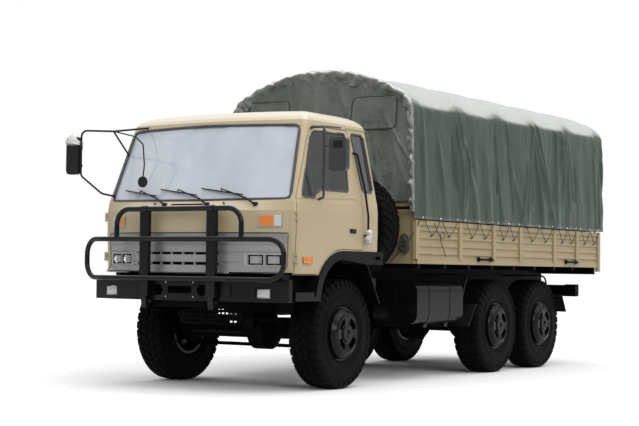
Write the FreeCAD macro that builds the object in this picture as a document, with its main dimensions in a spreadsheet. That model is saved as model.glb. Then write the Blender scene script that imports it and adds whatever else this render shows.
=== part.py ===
"""Military cargo truck, 6x6, cab over engine, with a canvas-covered drop-side bed.

Frame: +Z up, -Y is the truck's front, +X its left side, millimetres. The origin lies on the
ground under the middle of the truck. Left and right are the driver's.
"""
import FreeCAD
import Part
import Sketcher
import math
import os
import re

# name, millimetres, degrees or a formula of other names, what it is
DIMENSIONS = (
    ("axle_front_y", -2540, "front axle, from the origin"),
    ("wheelbase", 3475, "front axle to first rear axle"),
    ("air_tank_clear", 775, "first rear axle to the rear end of the air tanks"),
    ("air_tank_length", 640, "length of each air tank"),
    ("bogie_spread", 1250, "first to second rear axle"),
    ("half_track", 948, "truck centre to the middle of a wheel"),
    ("tyre_radius", 548, "outside of the tread"),
    ("tyre_width", 330, "over the side walls"),
    ("bead_radius", 254, "where the tyre sits on the rim"),
    ("rim_width", 270, "over the rim flanges"),
    ("rim_wall", 12, "thickness of the rim"),
    ("rim_flange", 16, "height of the rim flange"),
    ("dish_reach", 205, "wheel middle to the outer face of the disc"),
    ("hub_radius", 90, "wheel hub"),
    ("spindle_radius", 45, "wheel spindle"),
    ("spindle_play", 0.5, "gap between spindle and hub"),
    ("kingpin_x", 760, "truck centre to the kingpin"),
    ("kingpin_radius", 20, "kingpin"),
    ("ball_radius", 112, "steering ball at the end of the front axle"),
    ("knuckle_wall", 22, "wall of the steering knuckle"),
    ("knuckle_play", 2, "gap between ball and knuckle"),
    ("steer_arm", 255, "kingpin to the track rod"),
    ("steer_arm_drop", 120, "axle centre down to the track rod"),
    ("track_rod_radius", 19, "track rod"),
    ("axle_tube_radius", 74, "axle housing tube"),
    ("diff_radius", 185, "round of the differential housing"),
    ("drum_radius", 190, "brake drum"),
    ("diff_offset", 150, "front differential, to the left"),
    ("frame_half", 430, "outside of the frame rails"),
    ("frame_bottom", 760, "underside of the rails"),
    ("frame_height", 250, "rail height"),
    ("frame_flange", 80, "rail flange"),
    ("frame_wall", 9, "rail sheet"),
    ("frame_front", -3640, "front end of the rails"),
    ("frame_rear", 3700, "rear end of the rails"),
    ("spring_x", 390, "middle of the leaf springs"),
    ("spring_width", 80, "leaf width"),
    ("leaf", 15, "leaf thickness"),
    ("cab_half", 1180, "half width of the cab at the belt"),
    ("cab_bottom", 1130, "lower edge of the cab front"),
    ("cab_skin", 30, "cab wall"),
    ("hatch_foot", 1530, "seam between the grille and the front hatch"),
    ("cab_rear", -1980, "rear wall of the cab"),
    ("cab_nose", -3753, "foremost point of the cab"),
    ("front_bow", 220, "how far the cab's front corners lie behind its nose"),
    ("corner_turn", 90, "plan radius of the cab's front corners"),
    ("crease_low", 1545, "lower crease round the cab"),
    ("crease_high", 1740, "upper crease round the cab"),
    ("belt", 1830, "foot of the windscreen"),
    ("gutter", 2600, "gutter, where the roof starts"),
    ("roof_top", 2752, "crest of the cab roof"),
    ("gutter_half", 1068, "half width of the cab at the gutter"),
    ("gutter_nose", -3345, "cab front at the gutter"),
    ("gutter_rear", -2085, "cab rear at the gutter"),
    ("press_depth", 5, "depth of the pressings in doors and panels"),
    ("panel_gap", 8, "gap round the doors"),
    ("seam", 4, "gap between fixed panels"),
    ("grille_foot", 1134, "lower edge of the grille"),
    ("slot_pitch", 139, "spacing of the grille's slots"),
    ("lamp_inner", 670, "inner edge of the headlamp recess"),
    ("lamp_outer", 1060, "outer edge of the headlamp recess"),
    ("lamp_foot", 1208, "lower edge of the headlamp recess"),
    ("lamp_head", 1330, "upper edge of the headlamp recess"),
    ("glass", 6, "glass thickness"),
    ("glass_inset", 10, "glass behind the outer skin"),
    ("seal", 26, "width of the rubber window seal"),
    ("door_front", -3505, "front edge of the doors"),
    ("door_rear", -2314, "rear edge of the doors"),
    ("door_foot", 1133, "lower edge of the doors"),
    ("arch_top", 1371, "lower edge of the cab over the wheel"),
    ("arch_round", 497, "radius of the wheel arch ahead of its crest"),
    ("arch_y", -2700, "front end of the wheel arch's crest"),
    ("arch_foot", 920, "lower end of the wheel arch"),
    ("hinge_x", 1172, "door hinge axis"),
    ("hinge_reach", 62, "hinge webs, from the axis into the skin"),
    ("hinge_radius", 11, "door hinge barrel"),
    ("pin_radius", 6, "door hinge pin"),
    ("pin_play", 0.3, "gap round a hinge pin"),
    ("floor_level", 1375, "underside of the cab floor"),
    ("corner_post", 30, "width of the cab's front corner posts below the belt"),
    ("bumper_bottom", 867, "lower edge of the bumper"),
    ("bumper_top", 1084, "upper edge of the bumper"),
    ("bumper_face", -3790, "front of the bumper"),
    ("bumper_half", 1170, "half length of the bumper"),
    ("guard_tube", 25, "radius of the bull bar tube"),
    ("guard_face", -3835, "middle line of the bull bar tubes"),
    ("bed_half", 1235, "outside of the bed sides"),
    ("bed_front", -1300, "front of the bed"),
    ("bed_rear", 3770, "rear end of the bed sides"),
    ("bed_floor", 1310, "top of the bed floor"),
    ("bed_top", 1724, "top of the bed sides"),
    ("board", 30, "thickness of the side boards"),
    ("stake_width", 72, "width of the stakes"),
    ("stake_proud", 12, "stakes outside the boards' rails"),
    ("board_recess", 16, "pressed sheet of the side boards, inside their rails"),
    ("rib_height", 44, "pressed ribs of the side boards"),
    ("rib_proud", 14, "pressed ribs outside the sheet of the boards"),
    ("rib_pitch", 84, "spacing of the ribs"),
    ("corner_foot", 1205, "lower end of the bed's rear corner posts"),
    ("tarp_hem", "bed_top + 11", "lower edge of the canvas"),
    ("tarp_half", "bed_half + 11", "outside of the canvas"),
    ("shoulder_round", 120, "radius of the canvas shoulders"),
    ("crown_radius", 3400, "radius of the canvas crown"),
    ("seat_play", 0.3, "gap between the canvas and its bows"),
    ("headboard_top", 1925, "top of the headboard"),
    ("tarp_top", 3378, "crest of the canvas"),
    ("tarp_front", -1362, "front wall of the canvas"),
    ("tarp_rear", 3850, "rear curtain of the canvas"),
    ("tarp_wall", 8, "thickness of the canvas solid"),
    ("bow_radius", 16, "canopy bow tube"),
    ("tank_front", -1110, "front of the fuel tank"),
    ("tank_rear", -40, "rear of the fuel tank"),
    ("tank_bottom", 610, "underside of the fuel tank"),
    ("tank_top", 1065, "top of the fuel tank"),
    ("tank_round", 108, "corner radius of the fuel tank"),
    ("tank_inner", 600, "inner side of the fuel tank"),
    ("tank_outer", 1150, "outer side of the fuel tank"),
    ("tank_rib", 22, "width of the ribs on the tank's ends"),
    ("strap", 44, "width of the tank straps"),
    ("spare_x", 602, "middle of the spare wheel"),
    ("spare_y", -1632, "middle plane of the spare wheel"),
    ("spare_z", 1650, "height of the spare wheel's middle"),
    ("gate_hinge_y", 16, "tailgate hinge behind the bed"),
    ("gate_hinge_z", 18, "tailgate hinge below the bed floor"),
    ("gate_barrel", 13, "radius of the tailgate hinge barrels"),
    ("gate_pin", 7, "radius of the tailgate hinge pins"),
    ("beam_back", 3775, "rear face of the underrun beam"),
    ("beam_half", 925, "half length of the underrun beam"),
    ("tail_lamp", 150, "width of the lamp boxes on the underrun beam"),
    ("jaw_bore", 20, "radius of the towing jaw's pin bore"),
    ("jaw_reach", 108, "the bore behind the underrun beam"),
    ("tailgate_thick", 34, "thickness of the tailgate"),
    ("tailgate_gap", 8, "gap round the tailgate"),
)

STAKES_Y = (1250, 2254, 3107, 3835, 4829, 5542, 6310)

doc = FreeCAD.newDocument("cargo_truck")
V = FreeCAD.Vector


def make_sheet():
    """The driving dimensions, one row each: name, value, meaning."""
    sheet = doc.addObject("Spreadsheet::Sheet", "dims")
    for row, (name, size, meaning) in enumerate(DIMENSIONS, start=1):
        sheet.set(f"A{row}", name)
        sheet.set(f"B{row}", f"={size}")
        sheet.setAlias(f"B{row}", name)
        sheet.set(f"C{row}", meaning)
    doc.recompute()
    return sheet


SHEET = make_sheet()
NAMES = {name for name, _, _ in DIMENSIONS}


class Sizes:
    """The sheet's values by name, for shapes that are worked out in code."""

    def __getattr__(self, name):
        return float(SHEET.get(name))


d = Sizes()
AXLES = {"front": d.axle_front_y,
         "mid": d.axle_front_y + d.wheelbase,
         "rear": d.axle_front_y + d.wheelbase + d.bogie_spread}
NODES = {}


def link(formula):
    """A formula of sheet names, written for the document's expressions."""
    def name(match):
        word = match.group(0)
        return "dims." + word if word in NAMES else word
    return re.sub(r"[A-Za-z_][A-Za-z_0-9]*", name, str(formula))


def bind(thing, prop, formula):
    thing.setExpression(prop, link(formula))


def place(thing, x, y, z):
    for axis, formula in zip("xyz", (x, y, z)):
        bind(thing, f"Placement.Base.{axis}", formula)


def node(name, thing):
    """Register a finished sub-part under its node name."""
    thing.Label = name
    NODES[name] = thing
    return thing


def solid(name, shape):
    """A sub-part whose shape no sketch or primitive gives."""
    thing = doc.addObject("Part::Feature", name)
    thing.Shape = shape
    return thing


def box(name, x, y, z):
    """A block from three pairs of formulas, low and high."""
    block = doc.addObject("Part::Box", name)
    for prop, (low, high) in zip(("Length", "Width", "Height"), (x, y, z)):
        bind(block, prop, f"({high}) - ({low})")
    place(block, x[0], y[0], z[0])
    return block


TURN = {"x": FreeCAD.Rotation(V(0, 1, 0), 90),
        "y": FreeCAD.Rotation(V(1, 0, 0), -90),
        "z": FreeCAD.Rotation()}


def rod(name, axis, radius, low, high, x=0, y=0, z=0):
    """A round bar along an axis, from low to high on it."""
    bar = doc.addObject("Part::Cylinder", name)
    bind(bar, "Radius", radius)
    bind(bar, "Height", f"({high}) - ({low})")
    bar.Placement = FreeCAD.Placement(V(), TURN[axis])
    spot = {"x": x, "y": y, "z": z}
    spot[axis] = low
    place(bar, spot["x"], spot["y"], spot["z"])
    return bar


def fuse(name, *things):
    joined = doc.addObject("Part::MultiFuse", name)
    joined.Shapes = list(things)
    return joined


def cut(name, base, *tools):
    tool = tools[0] if len(tools) == 1 else fuse(name + "_tools", *tools)
    result = doc.addObject("Part::Cut", name)
    result.Base = base
    result.Tool = tool
    return result


def common(name, first, second):
    result = doc.addObject("Part::Common", name)
    result.Base = first
    result.Tool = second
    return result


def group(name, *things):
    """Several solids of one node that don't touch."""
    together = doc.addObject("Part::Compound", name)
    together.Links = list(things)
    return together


def plane(body, role):
    return next(f for f in body.Origin.OriginFeatures if f.Role == role)


def outline(body, name, role, points):
    """A closed sketch of straight lines; each corner is a pair of formulas."""
    sketch = body.newObject("Sketcher::SketchObject", name)
    sketch.AttachmentSupport = [(plane(body, role), "")]
    sketch.MapMode = "FlatFace"
    count = len(points)
    for i in range(count):
        sketch.addGeometry(Part.LineSegment(V(i, i * i, 0), V(i + 1, (i + 1) ** 2, 0)))
    for i in range(count):
        sketch.addConstraint(Sketcher.Constraint("Coincident", i, 2, (i + 1) % count, 1))
    for i, pair in enumerate(points):
        for kind, formula in zip(("DistanceX", "DistanceY"), pair):
            number = sketch.addConstraint(Sketcher.Constraint(kind, -1, 1, i, 1, float(i + 1)))
            sketch.setExpression(f"Constraints[{number}]", link(formula))
    return sketch


def pad(name, role, points, low, high):
    """A PartDesign body: an outline on an origin plane, padded from low to high."""
    body = doc.addObject("PartDesign::Body", name)
    sketch = outline(body, name + "_outline", role, points)
    feature = body.newObject("PartDesign::Pad", name + "_pad")
    feature.Profile = sketch
    bind(feature, "Length", f"({high}) - ({low})")
    normal = {"XY_Plane": "z", "XZ_Plane": "y", "YZ_Plane": "x"}[role]
    if role == "XZ_Plane":
        feature.Reversed = True
    bind(body, f"Placement.Base.{normal}", low)
    return body


def revolve(name, points, x=0, y=0, z=0):
    """A PartDesign body turned about X: corners are (along X, radius) formulas."""
    body = doc.addObject("PartDesign::Body", name)
    sketch = outline(body, name + "_outline", "XZ_Plane", points)
    feature = body.newObject("PartDesign::Revolution", name + "_turn")
    feature.Profile = sketch
    feature.ReferenceAxis = (plane(body, "X_Axis"), [""])
    feature.Angle = 360
    place(body, x, y, z)
    return body


def mirror_x(name, thing):
    """The same piece on the truck's other side."""
    other = doc.addObject("Part::Mirroring", name)
    other.Source = thing
    other.Base = V(0, 0, 0)
    other.Normal = V(1, 0, 0)
    return other


# ---------------------------------------------------------------- shapes worked out in code

def prism(points, axis, low, high):
    """A straight-sided solid from corners in the plane across the axis."""
    spots = {"x": lambda a, b: V(low, a, b),
             "y": lambda a, b: V(a, low, b),
             "z": lambda a, b: V(a, b, low)}[axis]
    corners = [spots(a, b) for a, b in points]
    face = Part.Face(Part.makePolygon(corners + corners[:1]))
    step = {"x": V(high - low, 0, 0), "y": V(0, high - low, 0), "z": V(0, 0, high - low)}[axis]
    return face.extrude(step)


def rounded_path(points, radii):
    """Straight runs joined by tangent arcs of the given radii at the inner points."""
    edges = []
    start = points[0]
    for i in range(1, len(points) - 1):
        before = (points[i - 1] - points[i]).normalize()
        after = (points[i + 1] - points[i]).normalize()
        half = before.getAngle(after) / 2
        reach = radii[i - 1] / math.tan(half)
        first = points[i] + before * reach
        last = points[i] + after * reach
        bisector = (before + after).normalize()
        middle = points[i] + bisector * (radii[i - 1] / math.sin(half) - radii[i - 1])
        if (first - start).Length > 0.01:
            edges.append(Part.LineSegment(start, first).toShape())
        edges.append(Part.Arc(first, middle, last).toShape())
        start = last
    edges.append(Part.LineSegment(start, points[-1]).toShape())
    return Part.Wire(edges)


def tube(points, radii, radius):
    """A round bar along a rounded path."""
    path = rounded_path(points, radii) if len(points) > 2 else Part.Wire(
        [Part.LineSegment(points[0], points[1]).toShape()])
    direction = (points[1] - points[0]).normalize()
    ring = Part.Wire([Part.makeCircle(radius, points[0], direction)])
    return path.makePipeShell([ring], True, False)


def cab_section(level, half, nose, rear, bow, turn, inset):
    """Plan of the cab at one level: bowed front, rounded corners, straight sides and back."""
    half -= inset
    nose += inset
    rear -= inset
    corner = turn - inset / 2
    side_start = nose + bow + 1.2 * turn
    front = V(half - corner, nose + bow, level)
    back = 60
    points = {
        "rear_left": V(half, rear - back, level), "side_left": V(half, side_start, level),
        "corner_left": V(half - 0.24 * corner, nose + bow + 0.42 * turn, level),
        "front_left": front}

    def right(spot):
        return V(-spot.x, spot.y, spot.z)

    edges = [
        Part.LineSegment(points["rear_left"], points["side_left"]),
        Part.Arc(points["side_left"], points["corner_left"], front),
        Part.Arc(front, V(0, nose, level), right(front)),
        Part.Arc(right(front), right(points["corner_left"]), right(points["side_left"])),
        Part.LineSegment(right(points["side_left"]), right(points["rear_left"])),
        Part.Arc(right(points["rear_left"]), V(-half + 0.29 * back, rear - 0.29 * back, level),
                 V(-half + back, rear, level)),
        Part.LineSegment(V(-half + back, rear, level), V(half - back, rear, level)),
        Part.Arc(V(half - back, rear, level), V(half - 0.29 * back, rear - 0.29 * back, level),
                 points["rear_left"])]
    return Part.Wire([edge.toShape() for edge in edges])


def cab_form(inset):
    """The cab as a solid, drawn in by an inset from its outer skin."""
    levels = (
        (d.cab_bottom - inset, d.cab_half - 10, d.cab_nose + 12, d.cab_rear, d.front_bow,
         d.corner_turn),
        (d.crease_low, d.cab_half, d.cab_nose, d.cab_rear, d.front_bow, d.corner_turn),
        (d.crease_high, d.cab_half, d.cab_nose, d.cab_rear, d.front_bow, d.corner_turn),
        (d.belt, d.cab_half - 6, d.cab_nose + 86, d.cab_rear, 150, 84),
        (d.gutter, d.gutter_half, d.gutter_nose, d.gutter_rear, 112, 64))
    walls = Part.makeLoft([cab_section(*level, inset) for level in levels], True, True)
    return walls.fuse(roof_form(inset)).removeSplitter()


def roof_form(inset):
    """The roof over the gutter: an elliptical crown in steps, steeper at its edge."""
    steps = 7
    rise = d.roof_top - d.gutter - inset
    wires = []
    for i in range(steps):
        turn = math.radians(78 * i / (steps - 1))
        back = 1 - math.cos(turn)
        lift = rise * math.sin(turn) / math.sin(math.radians(78))
        wires.append(cab_section(d.gutter + lift, d.gutter_half - 330 * back,
                                 d.gutter_nose + 420 * back, d.gutter_rear - 260 * back,
                                 112, 64, inset))
    return Part.makeLoft(wires, True, True)


# ---------------------------------------------------------------- running gear

def wheel_profile():
    """Rim and disc in one section: barrel, two flanges and the disc bulging outwards."""
    edge = "rim_width / 2"
    return [
        (f"-{edge}", "bead_radius - rim_wall"), (f"-{edge}", "bead_radius + rim_flange"),
        (f"-{edge} + rim_wall", "bead_radius + rim_flange"),
        (f"-{edge} + rim_wall", "bead_radius"),
        (f"{edge} - rim_wall", "bead_radius"), (f"{edge} - rim_wall", "bead_radius + rim_flange"),
        (f"{edge}", "bead_radius + rim_flange"), (f"{edge}", "bead_radius - rim_wall"),
        ("dish_reach - 35", "bead_radius - 20"), ("dish_reach - 12", "bead_radius - 45"),
        ("dish_reach", "bead_radius - 80"), ("dish_reach - 8", "hub_radius + 12"),
        ("dish_reach - 8", "spindle_radius + spindle_play"),
        ("-40", "spindle_radius + spindle_play"), ("-40", "hub_radius"),
        ("dish_reach - 30", "hub_radius"), ("dish_reach - 22", "bead_radius - 85"),
        (f"{edge} - 2 * rim_wall", "bead_radius - rim_wall")]


def tyre_profile():
    edge = "tyre_width / 2"
    seat = "rim_width / 2 - rim_wall"
    return [
        (f"-({seat})", "bead_radius"), (f"-({seat})", "bead_radius + rim_flange"),
        ("-rim_width / 2", "bead_radius + rim_flange"), (f"-({edge} - 12)", "bead_radius + 45"),
        (f"-({edge})", "bead_radius + 120"), (f"-({edge} - 4)", "tyre_radius - 75"),
        (f"-({edge} - 18)", "tyre_radius - 12"), (f"-({edge} - 36)", "tyre_radius - 2"),
        (f"-({edge} - 90)", "tyre_radius"),
        (f"{edge} - 90", "tyre_radius"), (f"{edge} - 36", "tyre_radius - 2"),
        (f"{edge} - 18", "tyre_radius - 12"), (f"{edge} - 4", "tyre_radius - 75"),
        (edge, "bead_radius + 120"), (f"{edge} - 12", "bead_radius + 45"),
        ("rim_width / 2", "bead_radius + rim_flange"), (seat, "bead_radius + rim_flange"),
        (seat, "bead_radius")]


def kidney_slots(name, body_x, body_y, body_z, outward):
    """Four arc-shaped hand holes through the disc."""
    slots = []
    for i in range(4):
        ring = Part.makeCylinder(165, 120, V(outward * 110, 0, 0), V(outward, 0, 0), 52)
        core = Part.makeCylinder(105, 130, V(outward * 105, 0, 0), V(outward, 0, 0), 360)
        slot = ring.cut(core)
        slot.rotate(V(), V(1, 0, 0), 90 * i + 19)
        slots.append(slot)
    tool = solid(name, Part.makeCompound(slots))
    place(tool, body_x, body_y, body_z)
    return tool


def wheel(name, side, axle):
    """Tyre and rim of one wheel; the side is +1 on the left."""
    x = f"{side} * half_track"
    y = f"axle_front_y{axle}"
    rim = revolve(f"rim_{name}_form", wheel_profile(), x, y, "tyre_radius")
    tyre = revolve(f"tyre_{name}_form", tyre_profile(), x, y, "tyre_radius")
    if side < 0:
        rim.Placement.Rotation = FreeCAD.Rotation(V(0, 0, 1), 180)
    holes = kidney_slots(f"slots_{name}", x, y, "tyre_radius", side)
    node(f"rim_{name}", cut(f"rim_{name}_cut", rim, holes))
    node(f"tyre_{name}", tyre)


def make_wheels():
    spots = {"front": "", "mid": " + wheelbase", "rear": " + wheelbase + bogie_spread"}
    for place_name, offset in spots.items():
        wheel(f"{place_name}_left", 1, offset)
        wheel(f"{place_name}_right", -1, offset)


def make_front_axle():
    """Driven front axle: turned housing, a steering ball and kingpin at each end."""
    tube = "axle_tube_radius"
    housing = revolve("front_housing", [
        ("-kingpin_x", 0), ("-kingpin_x", tube), ("diff_offset - diff_radius", tube),
        ("diff_offset - diff_radius / 2", "diff_radius"),
        ("diff_offset + diff_radius / 2", "diff_radius"),
        ("diff_offset + diff_radius", tube), ("kingpin_x", tube), ("kingpin_x", 0)],
        0, "axle_front_y", "tyre_radius")
    parts = [housing, rod("front_pinion", "y", "90", "axle_front_y", "axle_front_y + 290",
                          x="diff_offset", z="tyre_radius")]
    for side, tag in ((1, "left"), (-1, "right")):
        ball = doc.addObject("Part::Sphere", f"steer_ball_{tag}")
        bind(ball, "Radius", "ball_radius")
        place(ball, f"{side} * kingpin_x", "axle_front_y", "tyre_radius")
        pin = rod(f"kingpin_{tag}", "z", "kingpin_radius",
                  "tyre_radius - ball_radius - knuckle_wall",
                  "tyre_radius + ball_radius + knuckle_wall",
                  x=f"{side} * kingpin_x", y="axle_front_y")
        seat = box(f"spring_seat_{tag}",
                   (f"{side} * spring_x - spring_width / 2 - 12",
                    f"{side} * spring_x + spring_width / 2 + 12"),
                   ("axle_front_y - 70", "axle_front_y + 70"),
                   ("tyre_radius", "tyre_radius + axle_tube_radius + 10"))
        parts += [ball, pin, seat]
    node("front_axle", fuse("front_axle_form", *parts))


def make_rear_axles():
    """Two turned housings: stub, brake drum, tube, differential, tube, drum, stub."""
    tube = "(axle_tube_radius + 6)"
    drum_in, drum_out = "(half_track - 175)", "(half_track - 70)"
    end = "(half_track + 120)"
    half_profile = [(end, 0), (end, "spindle_radius"), (drum_out, "spindle_radius"),
                    (drum_out, "drum_radius"), (drum_in, "drum_radius"), (drum_in, tube),
                    ("diff_radius * 1.05", tube), ("diff_radius / 2", "diff_radius + 8")]
    profile = half_profile + [(f"-{x}", r) for x, r in reversed(half_profile)]
    things = []
    for tag, y in (("mid", "axle_front_y + wheelbase"),
                   ("rear", "axle_front_y + wheelbase + bogie_spread")):
        housing = revolve(f"{tag}_housing", profile, 0, y, "tyre_radius")
        nose = rod(f"{tag}_pinion", "y", "95", f"{y} - 300", y, z="tyre_radius")
        seats = [box(f"{tag}_seat_{s}", (f"{k} * spring_x - 50", f"{k} * spring_x + 50"),
                     (f"{y} - 70", f"{y} + 70"),
                     ("tyre_radius", "tyre_radius + axle_tube_radius + 16"))
                 for s, k in (("l", 1), ("r", -1))]
        things.append(fuse(f"{tag}_axle_form", housing, nose, *seats))
    node("rear_axles", group("rear_axles_group", *things))


def make_knuckle(tag, side):
    """Steering knuckle: an open bell over the steering ball, a spindle, and the track arm."""
    centre = V(side * d.kingpin_x, d.axle_front_y, d.tyre_radius)
    inner = d.ball_radius + d.knuckle_play
    outer = inner + d.knuckle_wall
    bell = Part.makeSphere(outer, centre).cut(Part.makeSphere(inner, centre))
    rim_side = -35 * side
    trim = Part.makeBox(400, 400, 400, V(-200, centre.y - 200, centre.z - 200))
    trim.translate(V(centre.x + rim_side - side * 200, 0, 0))
    bell = bell.cut(trim)
    axis = V(side, 0, 0)
    flange_x = centre.x + side * (outer - 30)
    flange = Part.makeCylinder(122, 34, V(flange_x, centre.y, centre.z), axis)
    flange = flange.cut(Part.makeSphere(inner, centre))
    spindle_end = side * (d.half_track + 120)
    spindle = Part.makeCylinder(d.spindle_radius, abs(spindle_end - flange_x),
                                V(flange_x, centre.y, centre.z), axis)
    spindle = spindle.cut(Part.makeSphere(inner, centre))
    drop = d.steer_arm_drop
    arm = Part.makeBox(30, d.steer_arm - 10, 24,
                       V(centre.x - 15, centre.y + 20, centre.z - drop - 12))
    arm = arm.cut(Part.makeSphere(inner, centre))
    eye = Part.makeCylinder(26, 24, V(centre.x, centre.y + d.steer_arm, centre.z - drop - 12))
    boss = Part.makeBox(40, 60, 40, V(centre.x - 20, centre.y + 10, centre.z - outer + 2))
    boss = boss.cut(Part.makeSphere(inner + 1, centre))
    shape = bell.fuse([flange, spindle, arm, eye, boss])
    bore = Part.makeCylinder(d.kingpin_radius + d.pin_play, 2 * outer + 60,
                             V(centre.x, centre.y, centre.z - outer - 30))
    ball_bore = Part.makeCylinder(11, 80, V(centre.x, centre.y + d.steer_arm, centre.z - drop - 40))
    shape = shape.cut(bore).cut(ball_bore).removeSplitter()
    node(f"knuckle_{tag}", solid(f"knuckle_{tag}_form", shape))


def make_track_rod():
    """The track rod behind the axle, with a downward stud at each end's eye."""
    y = d.axle_front_y + d.steer_arm
    z = d.tyre_radius - d.steer_arm_drop - 12 - 24
    shaft = Part.makeCylinder(d.track_rod_radius, 2 * d.kingpin_x,
                              V(-d.kingpin_x, y, z), V(1, 0, 0))
    shape = shaft
    for side in (1, -1):
        head = Part.makeCylinder(24, 44, V(side * d.kingpin_x, y, z - 22))
        stud = Part.makeCylinder(10.5, 56, V(side * d.kingpin_x, y, z - 10))
        shape = shape.fuse(head).fuse(stud)
    node("track_rod", solid("track_rod_form", shape.removeSplitter()))


def make_springs():
    """Front leaf packs on their shackles, rear packs on the bogie's trunnion."""
    seat = d.tyre_radius + d.axle_tube_radius + 10
    packs = [leaf_front(side, seat) for side in (1, -1)]
    node("front_springs", solid("front_springs_form", Part.makeCompound(packs)))
    middle = (AXLES["mid"] + AXLES["rear"]) / 2
    rear_seat = d.tyre_radius + d.axle_tube_radius + 16
    packs = [leaf_rear(side, rear_seat, middle) for side in (1, -1)]
    node("rear_springs", solid("rear_springs_form", Part.makeCompound(packs)))


def leaf_front(side, seat):
    """Front pack: the longest leaf on top with eyes, clamped to the axle seat."""
    y = d.axle_front_y
    pad_height = 8
    top = seat + pad_height + 3 * d.leaf
    eye_z = d.frame_bottom - 38
    half = 680
    x0 = side * d.spring_x - d.spring_width / 2
    shapes = []
    for i in range(3):
        reach = half * (1 - 0.2 * i)
        low = top - (i + 1) * d.leaf
        lift = (eye_z - top + d.leaf / 2) * (reach / half) ** 2
        shapes.append(bent_leaf(x0, y, low, reach, lift))
    pack = shapes[0].fuse(shapes[1:])
    plates = [Part.makeBox(d.spring_width + 36, 120, pad_height, V(x0 - 18, y - 60, z))
              for z in (seat, top)]
    bolts = [Part.makeCylinder(7, top - seat + pad_height, V(x, y + along, seat))
             for x in (x0 - 9, x0 + d.spring_width + 9) for along in (-42, 42)]
    clamp = plates[0].fuse(plates[1:] + bolts)
    ends = []
    for end in (-1, 1):
        eye = Part.makeCylinder(26, d.spring_width + 8, V(x0 - 4, y + end * half, eye_z),
                                V(1, 0, 0))
        hanger = Part.makeBox(d.spring_width - 20, 60, d.frame_bottom - eye_z,
                              V(x0 + 10, y + end * half - 30, eye_z))
        ends += [eye, hanger]
    return Part.makeCompound([pack.fuse(ends), clamp])


def leaf_rear(side, seat, middle):
    """Rear pack: highest in the middle under the trunnion, its ends on both axles."""
    half = d.bogie_spread / 2 + 60
    x0 = side * d.spring_x - d.spring_width / 2
    low_end = seat
    shapes = []
    for i in range(4):
        reach = half * (1 - 0.17 * i)
        low = low_end + 14 + i * d.leaf
        drop = -14 * (reach / half) ** 2
        shapes.append(bent_leaf(x0, middle, low, reach, drop))
    pack = shapes[0].fuse(shapes[1:])
    top = low_end + 14 + 4 * d.leaf
    saddle = Part.makeBox(d.spring_width - 16, 220, d.frame_bottom - top + 4,
                          V(x0 + 8, middle - 110, top - 4))
    return pack.fuse(saddle)


def bent_leaf(x0, y, low, reach, lift):
    """One leaf: a flat arc band whose ends stand a lift above its middle."""
    under = Part.Arc(V(x0, y - reach, low + lift), V(x0, y, low), V(x0, y + reach, low + lift))
    over = Part.Arc(V(x0, y + reach, low + lift + d.leaf), V(x0, y, low + d.leaf),
                    V(x0, y - reach, low + lift + d.leaf))
    right = Part.LineSegment(V(x0, y + reach, low + lift), V(x0, y + reach, low + lift + d.leaf))
    left = Part.LineSegment(V(x0, y - reach, low + lift + d.leaf), V(x0, y - reach, low + lift))
    wire = Part.Wire([edge.toShape() for edge in (under, right, over, left)])
    return Part.Face(wire).extrude(V(d.spring_width, 0, 0))


# ---------------------------------------------------------------- frame and what hangs on it

def make_frame():
    rail = pad("rail_left_form", "XZ_Plane", [
        ("frame_half - frame_flange", "frame_bottom"), ("frame_half", "frame_bottom"),
        ("frame_half", "frame_bottom + frame_height"),
        ("frame_half - frame_flange", "frame_bottom + frame_height"),
        ("frame_half - frame_flange", "frame_bottom + frame_height - frame_wall"),
        ("frame_half - frame_wall", "frame_bottom + frame_height - frame_wall"),
        ("frame_half - frame_wall", "frame_bottom + frame_wall"),
        ("frame_half - frame_flange", "frame_bottom + frame_wall")],
        "frame_front", "frame_rear")
    node("frame_rails", group("frame_rails_group", rail, mirror_x("rail_right_form", rail)))
    members = []
    for i, y in enumerate((-3590, -1500, -700, 450, 1560, 2800, 3650)):
        members.append(box(f"crossmember_{i}",
                           ("-frame_half + frame_wall", "frame_half - frame_wall"),
                           (f"{y} - 45", f"{y} + 45"),
                           ("frame_bottom + frame_wall + 30", "frame_bottom + frame_height - frame_wall - 30")))
    node("frame_crossmembers", group("crossmembers_group", *members))


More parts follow.
